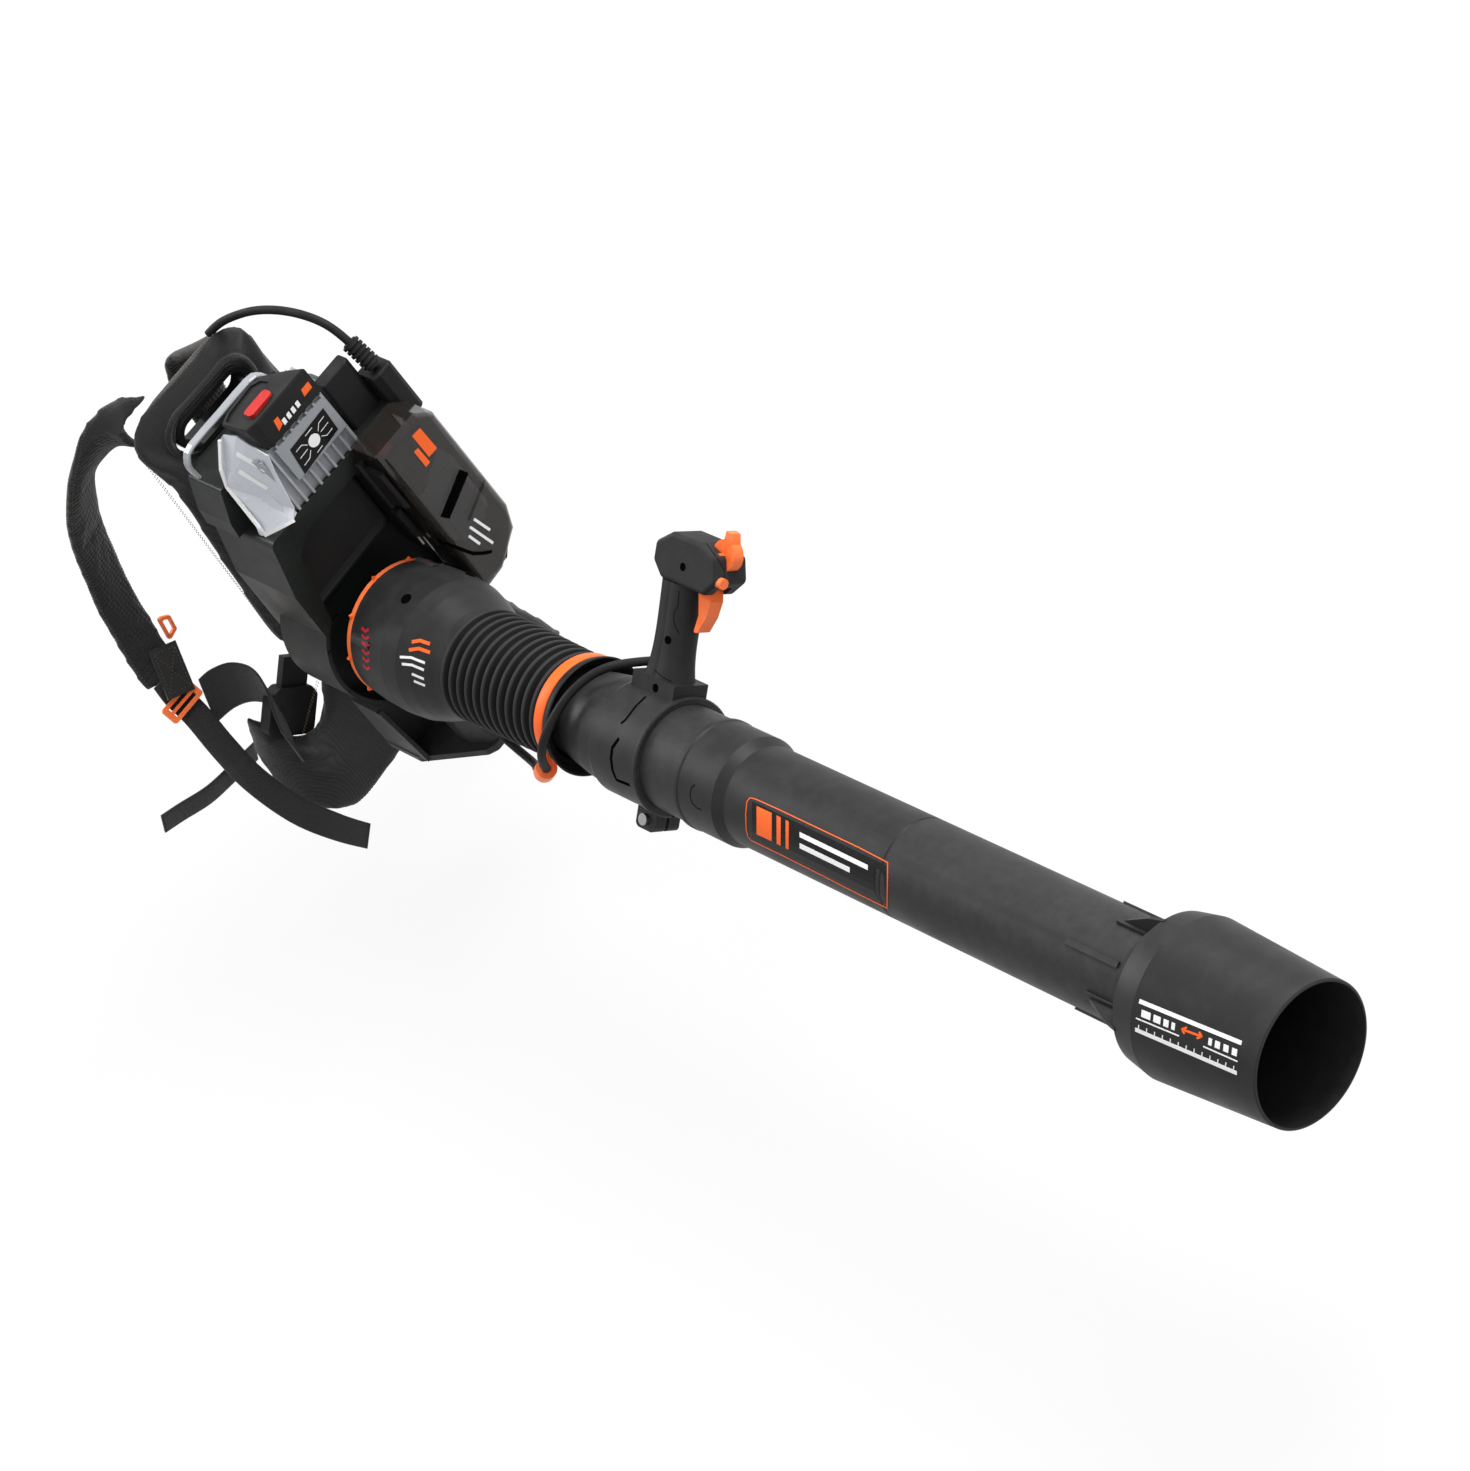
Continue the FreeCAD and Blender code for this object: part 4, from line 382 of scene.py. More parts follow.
finishes = {
    "tube": mouldedFinish("tubePlastic", (0.0155, 0.0155, 0.0158), (0.05, 0.05, 0.05), 0.46, bump=0.10),
    "body": mouldedFinish("housingPlastic", (0.0062, 0.0078, 0.0070), (0.03, 0.032, 0.03), 0.40, bump=0.05, shine=0.14),
    "dark": mouldedFinish("darkPlastic", (0.0095, 0.0095, 0.0100), (0.03, 0.03, 0.03), 0.5, bump=0.08, shine=0.12),
    "rimGloss": mouldedFinish("glossyRim", (0.005, 0.005, 0.006), (0.02, 0.02, 0.02),
        0.18, bump=0.02, coat=0.3, dust=0.02),
    "rubber": mouldedFinish("softRubber", (0.0085, 0.0085, 0.009), (0.02, 0.02, 0.02),
        0.58, grain=2400, bump=0.12, wear=0.2),
    "gripRubber": mouldedFinish("gripRubber", (0.015, 0.015, 0.0155), (0.04, 0.04, 0.04),
        0.6, grain=1300, bump=0.3, wear=0.2),
    "orange": mouldedFinish("orangePlastic", (0.78, 0.115, 0.018), (0.86, 0.32, 0.14), 0.4, bump=0.05, dust=0.02),
    "silver": mouldedFinish("silverPlastic", (0.25, 0.262, 0.28), (0.5, 0.5, 0.52),
        0.36, bump=0.05, metallic=0.3, dust=0.03),
    "pearl": mouldedFinish("paleShield", (0.50, 0.52, 0.56), (0.68, 0.68, 0.7),
        0.3, bump=0.03, metallic=0.15, dust=0.02),
    "red": mouldedFinish("redButton", (0.32, 0.004, 0.004), (0.6, 0.08, 0.07), 0.42, grain=900, bump=0.5, dust=0.0),
    "steel": mouldedFinish("screwSteel", (0.25, 0.25, 0.26), (0.6, 0.6, 0.6), 0.35, metallic=1.0, dust=0.02, shine=0.5),
    "fan": mouldedFinish("fanPlastic", (0.016, 0.016, 0.016), (0.05, 0.05, 0.05), 0.42),
    "black": mouldedFinish("blackSticker", (0.004, 0.004, 0.004), (0.015, 0.015, 0.015),
        0.3, bump=0.02, wear=0.2, dust=0.01),
    "white": mouldedFinish("whitePrint", (0.72, 0.72, 0.72), (0.7, 0.7, 0.7), 0.45, bump=0.02, wear=0.1, dust=0.01),
    "redPrint": mouldedFinish("redPrint", (0.36, 0.012, 0.02), (0.3, 0.05, 0.05), 0.5, bump=0.02, wear=0.1, dust=0.01),
    "ribbed": ribbedShadeFinish("ribbedRubber", (0.026, 0.026, 0.027)),
    # Near-black matt lines and discs: painted shade in holes, screw wells, grooves, seams and the finger slot
    "paintedShade": mouldedFinish("paintedShadeGap", (0.0015, 0.0015, 0.0015), (0.003, 0.003, 0.003),
        0.9, bump=0.0, wear=0.0, dust=0.0, shine=0.0),
    "smoke": smokedFinish("smokedCover", (0.020, 0.017, 0.015), 0.42),
    "cloth": clothFinish("panelCloth", (0.0150, 0.0148, 0.0150), (0.005, 0.005, 0.0055)),
    "strapCloth": clothFinish("strapCloth", (0.0190, 0.0190, 0.0195), (0.006, 0.006, 0.0065), pitch=0.0012, sheen=0.2),
    "knit": spacerFinish("spacerKnit", (0.0105, 0.0105, 0.0110), (0.0015, 0.0015, 0.0015)),
    "webbing": webbingFinish("webbingWeave", (0.0110, 0.0110, 0.0115)),
    "thread": mouldedFinish("sewingThread", (0.13, 0.085, 0.045), (0.2, 0.14, 0.08),
        0.6, grain=3000, bump=0.3, dust=0.0),
    "blackThread": mouldedFinish("blackThread", (0.02, 0.02, 0.021), (0.04, 0.04, 0.04),
        0.6, grain=3000, bump=0.3, dust=0.0),
}
print("finishes ready:", len(finishes))


def dress(finish, *names):
    for name in names:
        item = nodes[name]
        if not item.material_slots:
            item.data.materials.append(None)
        for place in item.material_slots:
            place.material = finishes[finish]


dress("tube", "fan_housing", "cuff", "neck_tube", "front_tube", "rear_tube", "nozzle", "clamp_collar", "swivel_block",
        "foot_bracket")
dress("body", "dock_housing", "bay_wall", "recess_panel", "frame_plate", "center_strip")
dress("dark", "connector_block", "cable_plug", "cover_hinge", "cover_latch", "intake_grille", "left_battery_head",
      "right_battery_head", "stator", "waist_buckle")
dress("rimGloss", "handle_rim")
dress("rubber", "cable_boot")
dress("gripRubber", "grip", "handle_head")
dress("orange", "intake_ring", "swivel_ring", "cable_clip", "trigger", "speed_lever", "boost_button", "d_ring",
        "ladder_lock")
dress("silver", "left_battery_case", "right_battery_case", "guard_loop")
dress("pearl", "bay_guard_left", "bay_guard_right")
dress("red", "left_battery_button", "right_battery_button")
dress("steel", "motor", "motor_shaft", "clamp_bolt", "swivel_pin")
dress("fan", "impeller")
dress("smoke", "bay_cover")


# Making pieces
def newPiece(name, points, faces, finish, body, smooth=True):
    mesh = bpy.data.meshes.new(name)
    mesh.from_pydata([tuple(p) for p in points], [], faces)
    mesh.validate()
    if smooth:
        mesh.shade_smooth()
    mesh.materials.append(finishes[finish])
    piece = bpy.data.objects.new(name, mesh)
    scene.collection.objects.link(piece)
    if body:
        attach(piece, body)
    return piece


def mm(*values):
    return Vector([value / 1000 for value in values])


# Quads between two rings of corners, given by the number of each ring's first
def bridge(faces, a, b, count, flip=False):
    for k in range(count):
        n = (k + 1) % count
        faces.append((a + n, a + k, b + k, b + n) if flip else (a + k, a + n, b + n, b + k))


# A ring of corners drawn in towards its middle
def shrunk(corners, scale):
    count = len(corners)
    middle = sum(a for a, b in corners) / count, sum(b for a, b in corners) / count
    return [(middle[0] + (a - middle[0]) * scale, middle[1] + (b - middle[1]) * scale) for a, b in corners]


# Sewn pads: the solid is remeshed, drawn in a little, swollen as cloth, then capped
pads = {
    "back_panel": {"voxel": 0.0045, "drawIn": 0.0022, "cap": 0.005, "pressure": 4.0, "finish": "cloth"},
    "shoulder_strap_left": {"voxel": 0.004, "drawIn": 0.0012, "cap": 0.0025, "pressure": 3.0, "finish": "strapCloth"},
    "shoulder_strap_right": {"voxel": 0.004, "drawIn": 0.0012, "cap": 0.0025, "pressure": 3.0, "finish": "strapCloth"},
    "hip_pad_left": {"voxel": 0.0045, "drawIn": 0.0014, "cap": 0.004, "pressure": 3.5, "finish": "cloth"},
    "hip_pad_right": {"voxel": 0.0045, "drawIn": 0.0014, "cap": 0.004, "pressure": 3.5, "finish": "cloth"},
}
swelling = {"frames": 20, "quality": 5, "mass": 0.3, "stiffness": 40, "bending": 2}


def padFromSolid(name, values):
    source = nodes[name]
    mesh = source.data.copy()
    mesh.transform(source.matrix_world)
    mesh.materials.clear()
    mesh.materials.append(finishes[values["finish"]])
    piece = bpy.data.objects.new(name + "_sewn", mesh)
    scene.collection.objects.link(piece)
    remesh = piece.modifiers.new("evenCloth", "REMESH")
    remesh.mode = "VOXEL"
    remesh.voxel_size = values["voxel"]
    applyModifiers(piece)
    smooth = piece.modifiers.new("softCorners", "SMOOTH")
    smooth.iterations = 3
    applyModifiers(piece)
    for point in piece.data.vertices:
        point.co -= point.normal * values["drawIn"]
    return piece


def applyModifiers(piece):
    graph = bpy.context.evaluated_depsgraph_get()
    graph.update()
    made = bpy.data.meshes.new_from_object(piece.evaluated_get(graph))
    old = piece.data
    made.materials.clear()
    for material in old.materials:
        made.materials.append(material)
    piece.modifiers.clear()
    piece.data = made
    bpy.data.meshes.remove(old)


def swell(piece, pressure):
    cloth = piece.modifiers.new("swelling", "CLOTH")
    settings = cloth.settings
    settings.quality = swelling["quality"]
    settings.mass = swelling["mass"]
    settings.use_pressure = True
    settings.uniform_pressure_force = pressure
    settings.effector_weights.gravity = 0
    settings.tension_stiffness = swelling["stiffness"]
    settings.compression_stiffness = swelling["stiffness"]
    settings.bending_stiffness = swelling["bending"]
    cloth.point_cache.frame_start = 1
    cloth.point_cache.frame_end = swelling["frames"]


def swellPads():
    made = {name: padFromSolid(name, values) for name, values in pads.items()}
    rest = {name: [point.co.copy() for point in piece.data.vertices] for name, piece in made.items()}
    for name, piece in made.items():
        swell(piece, pads[name]["pressure"])
    for number in range(1, swelling["frames"] + 1):
        scene.frame_set(number)
    for name, piece in made.items():
        if piece.modifiers:
            applyModifiers(piece)
        cap = pads[name]["cap"]
        for point, start in zip(piece.data.vertices, rest[name]):
            way = point.co - start
            if way.length > cap:
                point.co = start + way * (cap / way.length)
        finer = piece.modifiers.new("finer", "SUBSURF")
        finer.levels = 1
        finer.render_levels = 1
        applyModifiers(piece)
        piece.data.shade_smooth()
    scene.frame_set(1)
    return made


sewn = swellPads()
print("pads swollen:", len(sewn))


# A path is smoothed the way the straps in the part's source are
def smoothRow(values, steps):
    row = []
    last = len(values) - 1
    for i in range(last):
        p0, p1, p2, p3 = values[max(i - 1, 0)], values[i], values[i + 1], values[min(i + 2, last)]
        for step in range(steps):
            u = step / steps
            row.append(p1 + (p2 - p0) * (0.5 * u) + (p0 * 2 - p1 * 5 + p2 * 4 - p3) * (0.5 * u * u)
                       + (p1 * 3 - p0 - p2 * 3 + p3) * (0.5 * u ** 3))
    return row + [values[last]]


# The side of a band square to its run, unless it slants, and the normal of its face
def bandAxes(points, sides, i, slanted):
    tangent = (points[min(i + 1, len(points) - 1)] - points[max(i - 1, 0)]).normalized()
    side = sides[i].normalized() if slanted else (sides[i] - tangent * sides[i].dot(tangent)).normalized()
    return side, tangent.cross(side).normalized()


# Flat webbing with soft edges and its length and width as its map
ribbonEdge = [(-0.5, -0.25), (-0.46, -0.5), (-0.16, -0.5), (0.16, -0.5), (0.46, -0.5), (0.5, -0.25)]
webbing = {"thick": 2.2, "steps": 6}


def ribbon(name, path, across, widths, slanted=False):
    points = smoothRow([mm(*p) for p in path], webbing["steps"])
    sides = smoothRow([Vector(a).normalized() for a in across], webbing["steps"])
    wide = smoothRow(widths, webbing["steps"])
    ring = ribbonEdge + [(-a, -b) for a, b in ribbonEdge]
    corners, faces, marks = [], [], []
    run = 0.0
    for i, point in enumerate(points):
        side, normal = bandAxes(points, sides, i, slanted)
        if i:
            run += (point - points[i - 1]).length
        for a, b in ring:
            corners.append(point + side * (a * wide[i] / 1000) + normal * (b * webbing["thick"] / 1000))
            marks.append((a * wide[i] / 1000, run))
    count = len(ring)
    for i in range(len(points) - 1):
        bridge(faces, i * count, (i + 1) * count, count)
    faces.append(tuple(range(count - 1, -1, -1)))
    faces.append(tuple((len(points) - 1) * count + j for j in range(count)))
    piece = newPiece(name + "_woven", corners, faces, "webbing", None)
    layer = piece.data.uv_layers.new(name="UVMap")
    for loop in piece.data.loops:
        layer.data[loop.index].uv = marks[loop.vertex_index]
    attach(piece, "pack")
    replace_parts(piece, name)


straps = {
    "strap_webbing": {"path": [(-180.5, 60, -12), (-182, 60, -34), (-184, 44, -54), (-192, 16, -80), (-198, -16, -104),
        (-196, -52, -134), (-186, -82, -158), (-176, -106, -172)],
        "across": [(1, 0, 0.1)] * 4 + [(1, 0.3, 0.3), (0.8, 0.4, 0.6), (0.6, 0.3, 0.8), (0.5, 0.2, 0.9)],
        "width": 25},
    "waist_tail": {"path": [(-166, 44, -132), (-200, 24, -112), (-232, 10, -96), (-262, 4, -80), (-282, 0, -70)],
        "across": [(0.4, 0, 1)] * 5, "width": 18},
}
beltLoop = {
    "crest": [(-161, 44, -30), (-148, 39, -29), (-134, 28, -31), (-127, 12, -36), (-128, 0, -43), (-134, -6, -59),
        (-143, -11, -75),
        (-150, -15, -92)],
    "hem": [(-176, 43, -76), (-156, 39, -77), (-142, 28, -79), (-135, 12, -84), (-136, 0, -91), (-142, -6, -107),
        (-150, -12, -120),
        (-154, -17, -134)],
}
for name, values in straps.items():
    ribbon(name, values["path"], values["across"], [values["width"]] * len(values["path"]))
edges = [(Vector(crest), Vector(hem)) for crest, hem in zip(beltLoop["crest"], beltLoop["hem"])]
ribbon("waist_band", [(a + b) / 2 for a, b in edges], [b - a for a, b in edges], [(b - a).length for a, b in edges],
       slanted=True)
print("webbing ready")


# Ribbed hose between the fan housing and the long tube
hose = {"start": 116, "depth": 129, "ribs": 12, "radius": 50, "endRadius": 47.5, "groove": 4.8, "bore": 41.2,
        "segments": 112, "blendIn": 4,
        # share of the pitch, groove or crest, added radius, tone (painted shade: 0 is near black in the groove, 1 the
        # rubber's own colour)
        "rib": ((0.0, 0, 0.0, 0), (0.24, 0, 0.1, 0), (0.30, 1, -1.2, 0.25), (0.38, 1, -0.2, 1), (0.5, 1, 0.0, 1),
                (0.62, 1, -0.2, 1), (0.72, 1, -1.2, 0.25), (0.8, 0, 0.1, 0))}
tubeX, flangeY = -43, -165


# Pieces turned round the tube's axis: (distance from the flange, radius) rows, the last joined to the first
def turned(name, rows, finish, body, segments=128):
    points, faces = [], []
    for distance, radius in rows:
        points += [mm(tubeX + radius * math.cos(math.tau * i / segments), flangeY - distance,
                      radius * math.sin(math.tau * i / segments)) for i in range(segments)]
    for i in range(len(rows)):
        bridge(faces, i * segments, (i + 1) % len(rows) * segments, segments, flip=True)
    return newPiece(name, points, faces, finish, body)


def makeHose():
    profile = []
    pitch = hose["depth"] / hose["ribs"]
    for rib in range(hose["ribs"]):
        high = hose["radius"] + (hose["endRadius"] - hose["radius"]) * rib / (hose["ribs"] - 1)
        low = high - hose["groove"]
        for share, level, more, tone in hose["rib"]:
            profile.append((hose["start"] + pitch * (rib + share), (low, high)[level] + more, tone))
    end = hose["start"] + hose["depth"]
    profile += [(end, hose["endRadius"] - hose["groove"], 0), (end, hose["bore"], 0), (hose["start"], hose["bore"], 0)]
    rows = [(distance, radius) for distance, radius, tone in profile]
    piece = turned("ribbed_hose", rows, "ribbed", None, hose["segments"])
    # Each ring of corners carries its tone of painted groove shade
    layer = piece.data.color_attributes.new(name="ribGrooveShade", type="FLOAT_COLOR", domain="POINT")
    for index, spot in enumerate(layer.data):
        tone = profile[index // hose["segments"]][2]
        spot.color = (tone, tone, tone, 1)
    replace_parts(piece, "bellows")
    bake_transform(piece)


makeHose()

# The orange ring and the short dark cup sit a little further out than their solids
ringRows = [(245.2, 41.3), (245.2, 47.4), (246.0, 48.6), (247.6, 49.2), (256.4, 49.6), (257.6, 49.2), (258.2, 48.2),
        (258.2, 41.3)]
cupRows = [(243.4, 38.4), (243.4, 40.9), (258.3, 41.2), (258.3, 48.6), (259.2, 49.8), (263.5, 51.0), (266.2, 51.6),
        (267.2, 51.2),
           (267.4, 50.3), (266.6, 49.6), (262.0, 46.0), (255.0, 42.0), (250.0, 39.0), (247.4, 38.4)]
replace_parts(turned("orange_ring", ringRows, "orange", "wand"), "swivel_ring")
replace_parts(turned("flared_cup", cupRows, "dark", "wand"), "cuff")
print("hose ready")


# Cables: a smooth line through the same points as in the part's source
cables = {
    "radius": 3.8,
    "upper_cable": [(90, -133, 217), (90, -125, 232), (86, -106, 245), (79, -80, 252), (69, -53, 254), (57, -30, 251),
        (46, -13, 246),
        (37, -6, 241)],
    "fan_cable": [(-60, -231, -86), (-63, -250, -95), (-67, -275, -98), (-72, -301, -92), (-79, -327, -77),
        (-87, -351, -57),
        (-93, -374, -39), (-96, -394.5, -28)],
    "handle_cable": [(-98, -411.5, -12), (-100, -421, 6), (-93, -432, 27), (-76, -443, 45), (-52, -451, 56),
        (-28, -460, 57),
        (-9, -474, 52), (6, -491.6, 44)],
}


def smoothLine(name, points):
    curve = bpy.data.curves.new(name, "CURVE")
    curve.dimensions = "3D"
    curve.resolution_u = 12
    spline = curve.splines.new("NURBS")
    spline.points.add(len(points) - 1)
    for place, point in zip(spline.points, points):
        place.co = (*mm(*point), 1)
    spline.order_u = 3
    spline.use_endpoint_u = True
    curve.bevel_resolution = 5
    curve.use_fill_caps = True
    item = bpy.data.objects.new(name, curve)
    scene.collection.objects.link(item)
    return item


def makeCable(name):
    line = smoothLine(name + "_line", cables[name])
    graph = bpy.context.evaluated_depsgraph_get()
    way = [tuple(point.co) for point in bpy.data.meshes.new_from_object(line.evaluated_get(graph)).vertices]
    line.data.bevel_depth = cables["radius"] / 1000
    graph.update()
    mesh = bpy.data.meshes.new_from_object(line.evaluated_get(bpy.context.evaluated_depsgraph_get()))
    bpy.data.objects.remove(line)
    mesh.materials.clear()
    mesh.materials.append(finishes["rubber"])
    mesh.shade_smooth()
    piece = bpy.data.objects.new(name + "_soft", mesh)
    scene.collection.objects.link(piece)
    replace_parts(piece, name)
    return piece


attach(makeCable("upper_cable"), "pack")
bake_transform(makeCable("fan_cable"))
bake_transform(makeCable("handle_cable"))
print("cables ready")

# Small print, seams and thread are laid on the surface that carries them
pictureSize = (1470, 1471)
surfaces = {}


def surfaceOf(item):
    if item.name not in surfaces:
        place = item.matrix_world
        surfaces[item.name] = BVHTree.FromPolygons([place @ p.co for p in item.data.vertices],
                                                   [tuple(f.vertices) for f in item.data.polygons])
    return surfaces[item.name]


# Where the line of sight through a pixel of the picture first meets one of the items
def land(items, u, v):
    right, up = Vector(view["right"]).normalized(), Vector(view["up"]).normalized()
    perPixel = view["sensor"] / view["lens"] / pictureSize[0]
    across, down = (u - pictureSize[0] / 2) * perPixel, (v - pictureSize[1] / 2) * perPixel
    way = (up.cross(right) + right * across - up * down).normalized()
    best = None
    for item in items:
        point, normal, face, distance = surfaceOf(item).ray_cast(Vector(view["place"]), way)
        if point is not None and (best is None or distance < best[2]):
            best = (point, normal if normal.dot(way) < 0 else -normal, distance)
    if best is None:
        raise ValueError("nothing at %s, %s" % (u, v))
    return best[0], best[1]


def onto(item, point, way, reach=0.05):
    start = point - way * reach
    hit, normal, face, distance = surfaceOf(item).ray_cast(start, way, reach * 2)
    if hit is None:
        return None
    return hit, normal if normal.dot(way) < 0 else -normal


def lineOnto(items, pixels, step=4.0):
    rows = []
    for i in range(len(pixels) - 1):
        a, b = Vector(pixels[i]), Vector(pixels[i + 1])
        count = max(1, round((b - a).length / step))
        for k in range(count + (i == len(pixels) - 2)):
            spot = a.lerp(b, k / count)
            rows.append(land(items, spot.x, spot.y))
    return rows


# A flat line of one width, laid along points that each have a normal
def addStrip(form, rows, width, lift, sink=0.3):
    first = len(form["points"])
    count = len(rows)
    for i, (point, normal) in enumerate(rows):
        tangent = rows[min(i + 1, count - 1)][0] - rows[max(i - 1, 0)][0]
        side = normal.cross(tangent).normalized() * (width / 2000)
        high, low = normal * (lift / 1000), normal * (-sink / 1000)
        form["points"] += [point - side + low, point - side + high, point + side + high, point + side + low]
    last = first + (count - 1) * 4
    for a in range(first, last, 4):
        bridge(form["faces"], a, a + 4, 4)
    form["faces"] += [(first + 3, first + 2, first + 1, first), (last, last + 1, last + 2, last + 3)]


# A thin plate over four corners in the picture, curved as its carrier is
def addPlate(form, items, corners, steps, lift, sink=0.3):
    first = len(form["points"])
    a, b, c, d = [Vector(corner) for corner in corners]
    wide, high = steps
    tops, lows = [], []
    for j in range(high + 1):
        for i in range(wide + 1):
            spot = a.lerp(b, i / wide).lerp(d.lerp(c, i / wide), j / high)
            point, normal = land(items, spot.x, spot.y)
            tops.append(point + normal * (lift / 1000))
            lows.append(point - normal * (sink / 1000))
    form["points"] += tops + lows
    under = first + len(tops)
    row = wide + 1
    for j in range(high):
        for i in range(wide):
            k = j * row + i
            form["faces"].append((first + k, first + k + 1, first + k + row + 1, first + k + row))
            form["faces"].append((under + k + row, under + k + row + 1, under + k + 1, under + k))
    edge = list(range(row)) + [j * row + wide for j in range(1, high + 1)]
    edge += [high * row + i for i in range(wide - 1, -1, -1)] + [j * row for j in range(high - 1, 0, -1)]
    for k, i in enumerate(edge):
        n = edge[(k + 1) % len(edge)]
        form["faces"].append((first + n, first + i, under + i, under + n))


def addDisc(form, centre, normal, radius, lift, segments=24, sink=0.3):
    first = len(form["points"])
    side = normal.orthogonal().normalized()
    other = normal.cross(side)
    for level in (lift, -sink):
        for k in range(segments):
            angle = math.tau * k / segments
            form["points"].append(centre + (side * math.cos(angle) + other * math.sin(angle)) * (radius / 1000)
                                  + normal * (level / 1000))
    bridge(form["faces"], first, first + segments, segments)
    form["faces"].append(tuple(first + k for k in range(segments)))
    form["faces"].append(tuple(first + segments + k for k in range(segments - 1, -1, -1)))


# Single stitches, evenly spaced along the line
def addStitches(form, rows, pitch=3.4, length=2.3, width=0.7, height=0.35):
    run = 0.0
    wanted = pitch / 2
    for (a, normalA), (b, normalB) in zip(rows, rows[1:]):
        span = (b - a).length * 1000
        while span > 0 and wanted <= run + span:
            share = (wanted - run) / span
            point, normal = a.lerp(b, share), normalA.lerp(normalB, share).normalized()
            tangent = (b - a).normalized()
            side = normal.cross(tangent).normalized() * (width / 2000)
            half = tangent * (length / 2000)
            first = len(form["points"])
            for size, level in ((1, normal * -0.0002), (0.6, normal * (height / 1000))):
                form["points"] += [point + way * size + level for way in (-half, -side, half, side)]
            bridge(form["faces"], first, first + 4, 4)
            form["faces"] += [(first + 3, first + 2, first + 1, first), (first + 4, first + 5, first + 6, first + 7)]
            wanted += pitch
        run += span


def newForm():
    return {"points": [], "faces": []}


def settle(name, form, finish, body, smooth=False):
    return newPiece(name, form["points"], form["faces"], finish, body, smooth)


def carriers(*names):
    return [nodes[name] for name in names]


# One piece of print: plates (corners, steps), strips (line, width, spacing) and discs (pixel, radius, lift)
def layMarks(name, finish, body, items, lift, plates=(), strips=(), discs=(), segments=24):
    form = newForm()
    for corners, steps in plates:
        addPlate(form, items, corners, steps, lift)
    for line, width, spacing in strips:
        addStrip(form, lineOnto(items, line, spacing), width, lift)
    for spot, radius, rise in discs:
        addDisc(form, *land(items, *spot), radius, rise, segments)
    settle(name, form, finish, body)


# Thread along the sewn edges of the harness, both faces
strapRoutes = {
    "shoulder_strap_left": {
        "path": [(-58, -13, 230), (-67, -9, 241), (-77, 12, 234), (-88, 32, 224), (-104, 48, 209), (-117, 60, 192),
        (-129, 73, 165), (-139, 84, 135), (-148, 90, 98), (-158, 90, 63), (-166, 84, 28), (-174, 72, 1),
        (-181, 58, -15)],
        "across": [(-0.63, 0.1, -0.77), (-0.63, 0.14, -0.76), (-0.17, 0.44, -0.88), (0.12, 0.55, -0.82),
        (0.26, 0.62, -0.74),
        (0.5, 0.6, -0.6), (0.84, 0.42, -0.3), (0.95, 0.3, 0), (1, 0.25, 0.1), (1, 0.22, 0.1), (1, 0.15, 0.1),
        (1, 0.1, 0.1), (1, 0.05, 0.1)],
        "widths": [54, 54, 54, 54, 54, 54, 53, 50, 47.5, 46.5, 45.4, 43, 38]},
    "shoulder_strap_right": {
        "path": [(30, -6, 222), (27, 8, 228), (21, 22, 225), (16, 33, 208), (13, 38, 184), (10, 38, 158), (10, 42, 124),
        (18, 48, 84), (34, 53, 44), (52, 53, 4), (68, 48, -34)],
        "across": [(0.92, -0.05, -0.38)] * 3 + [(0.98, 0, -0.2)] + [(1, 0.05, 0)] * 7,
        "widths": [54, 54, 53, 52, 52, 51, 50, 48.6, 46.4, 43, 38]},
}
padEdges = {
    "hip_pad_left": (
        [(-72, -36, -44), (-104, -33, -81), (-125, -26, -104), (-140, -9, -114), (-146, 2, -104), (-151, 14, -91),
        (-154, 30, -82)],
        [(-55, -40, -189), (-79, -36, -195), (-107, -30, -204), (-145, -20, -213), (-168, -8, -197), (-177, 14, -174),
        (-164, 40, -129)]),
}
sewing = {"inset": 4.5, "steps": 8, "panelSteps": 220, "panelInset": 6.0, "reach": 0.012, "facing": 0.3,
          "panelReach": 0.05}


def threadAlong(form, item, centres, sides, halves, slanted):
    for share in (-1, 1):
        for face in (-1, 1):
            rows = []
            for i, point in enumerate(centres):
                side, normal = bandAxes(centres, sides, i, slanted)
                normal = normal * face
                spot = point + side * (share * (halves[i] - sewing["inset"] / 1000))
                found = onto(item, spot, -normal, sewing["reach"])
                if found and found[1].dot(normal) > sewing["facing"]:
                    rows.append(found)
            addStitches(form, rows)


def panelOutline():
    low, high = [Vector(corner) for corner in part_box("back_panel")]
    middle = (low + high) / 2
    rim = []
    for k in range(sewing["panelSteps"]):
        angle = math.tau * k / sewing["panelSteps"]
        way = Vector((math.cos(angle), 0, math.sin(angle)))
        hit = surfaceOf(nodes["back_panel"]).ray_cast(middle + way * 0.5, -way)[0]
        if hit is not None:
            rim.append(hit)
    rows = []
    for i, point in enumerate(rim):
        along = (rim[(i + 1) % len(rim)] - rim[i - 1]).normalized()
        inward = Vector((along.z, 0, -along.x))
        if inward.dot(middle - point) < 0:
            inward = -inward
        rows.append(point + inward * (sewing["panelInset"] / 1000))
    return rows


# The spots of a face of the panel that lie over or under the given points
def onPanel(points, face=1):
    found = [onto(sewn["back_panel"], point, Vector((0, face, 0)), sewing["panelReach"]) for point in points]
    return [row for row in found if row]


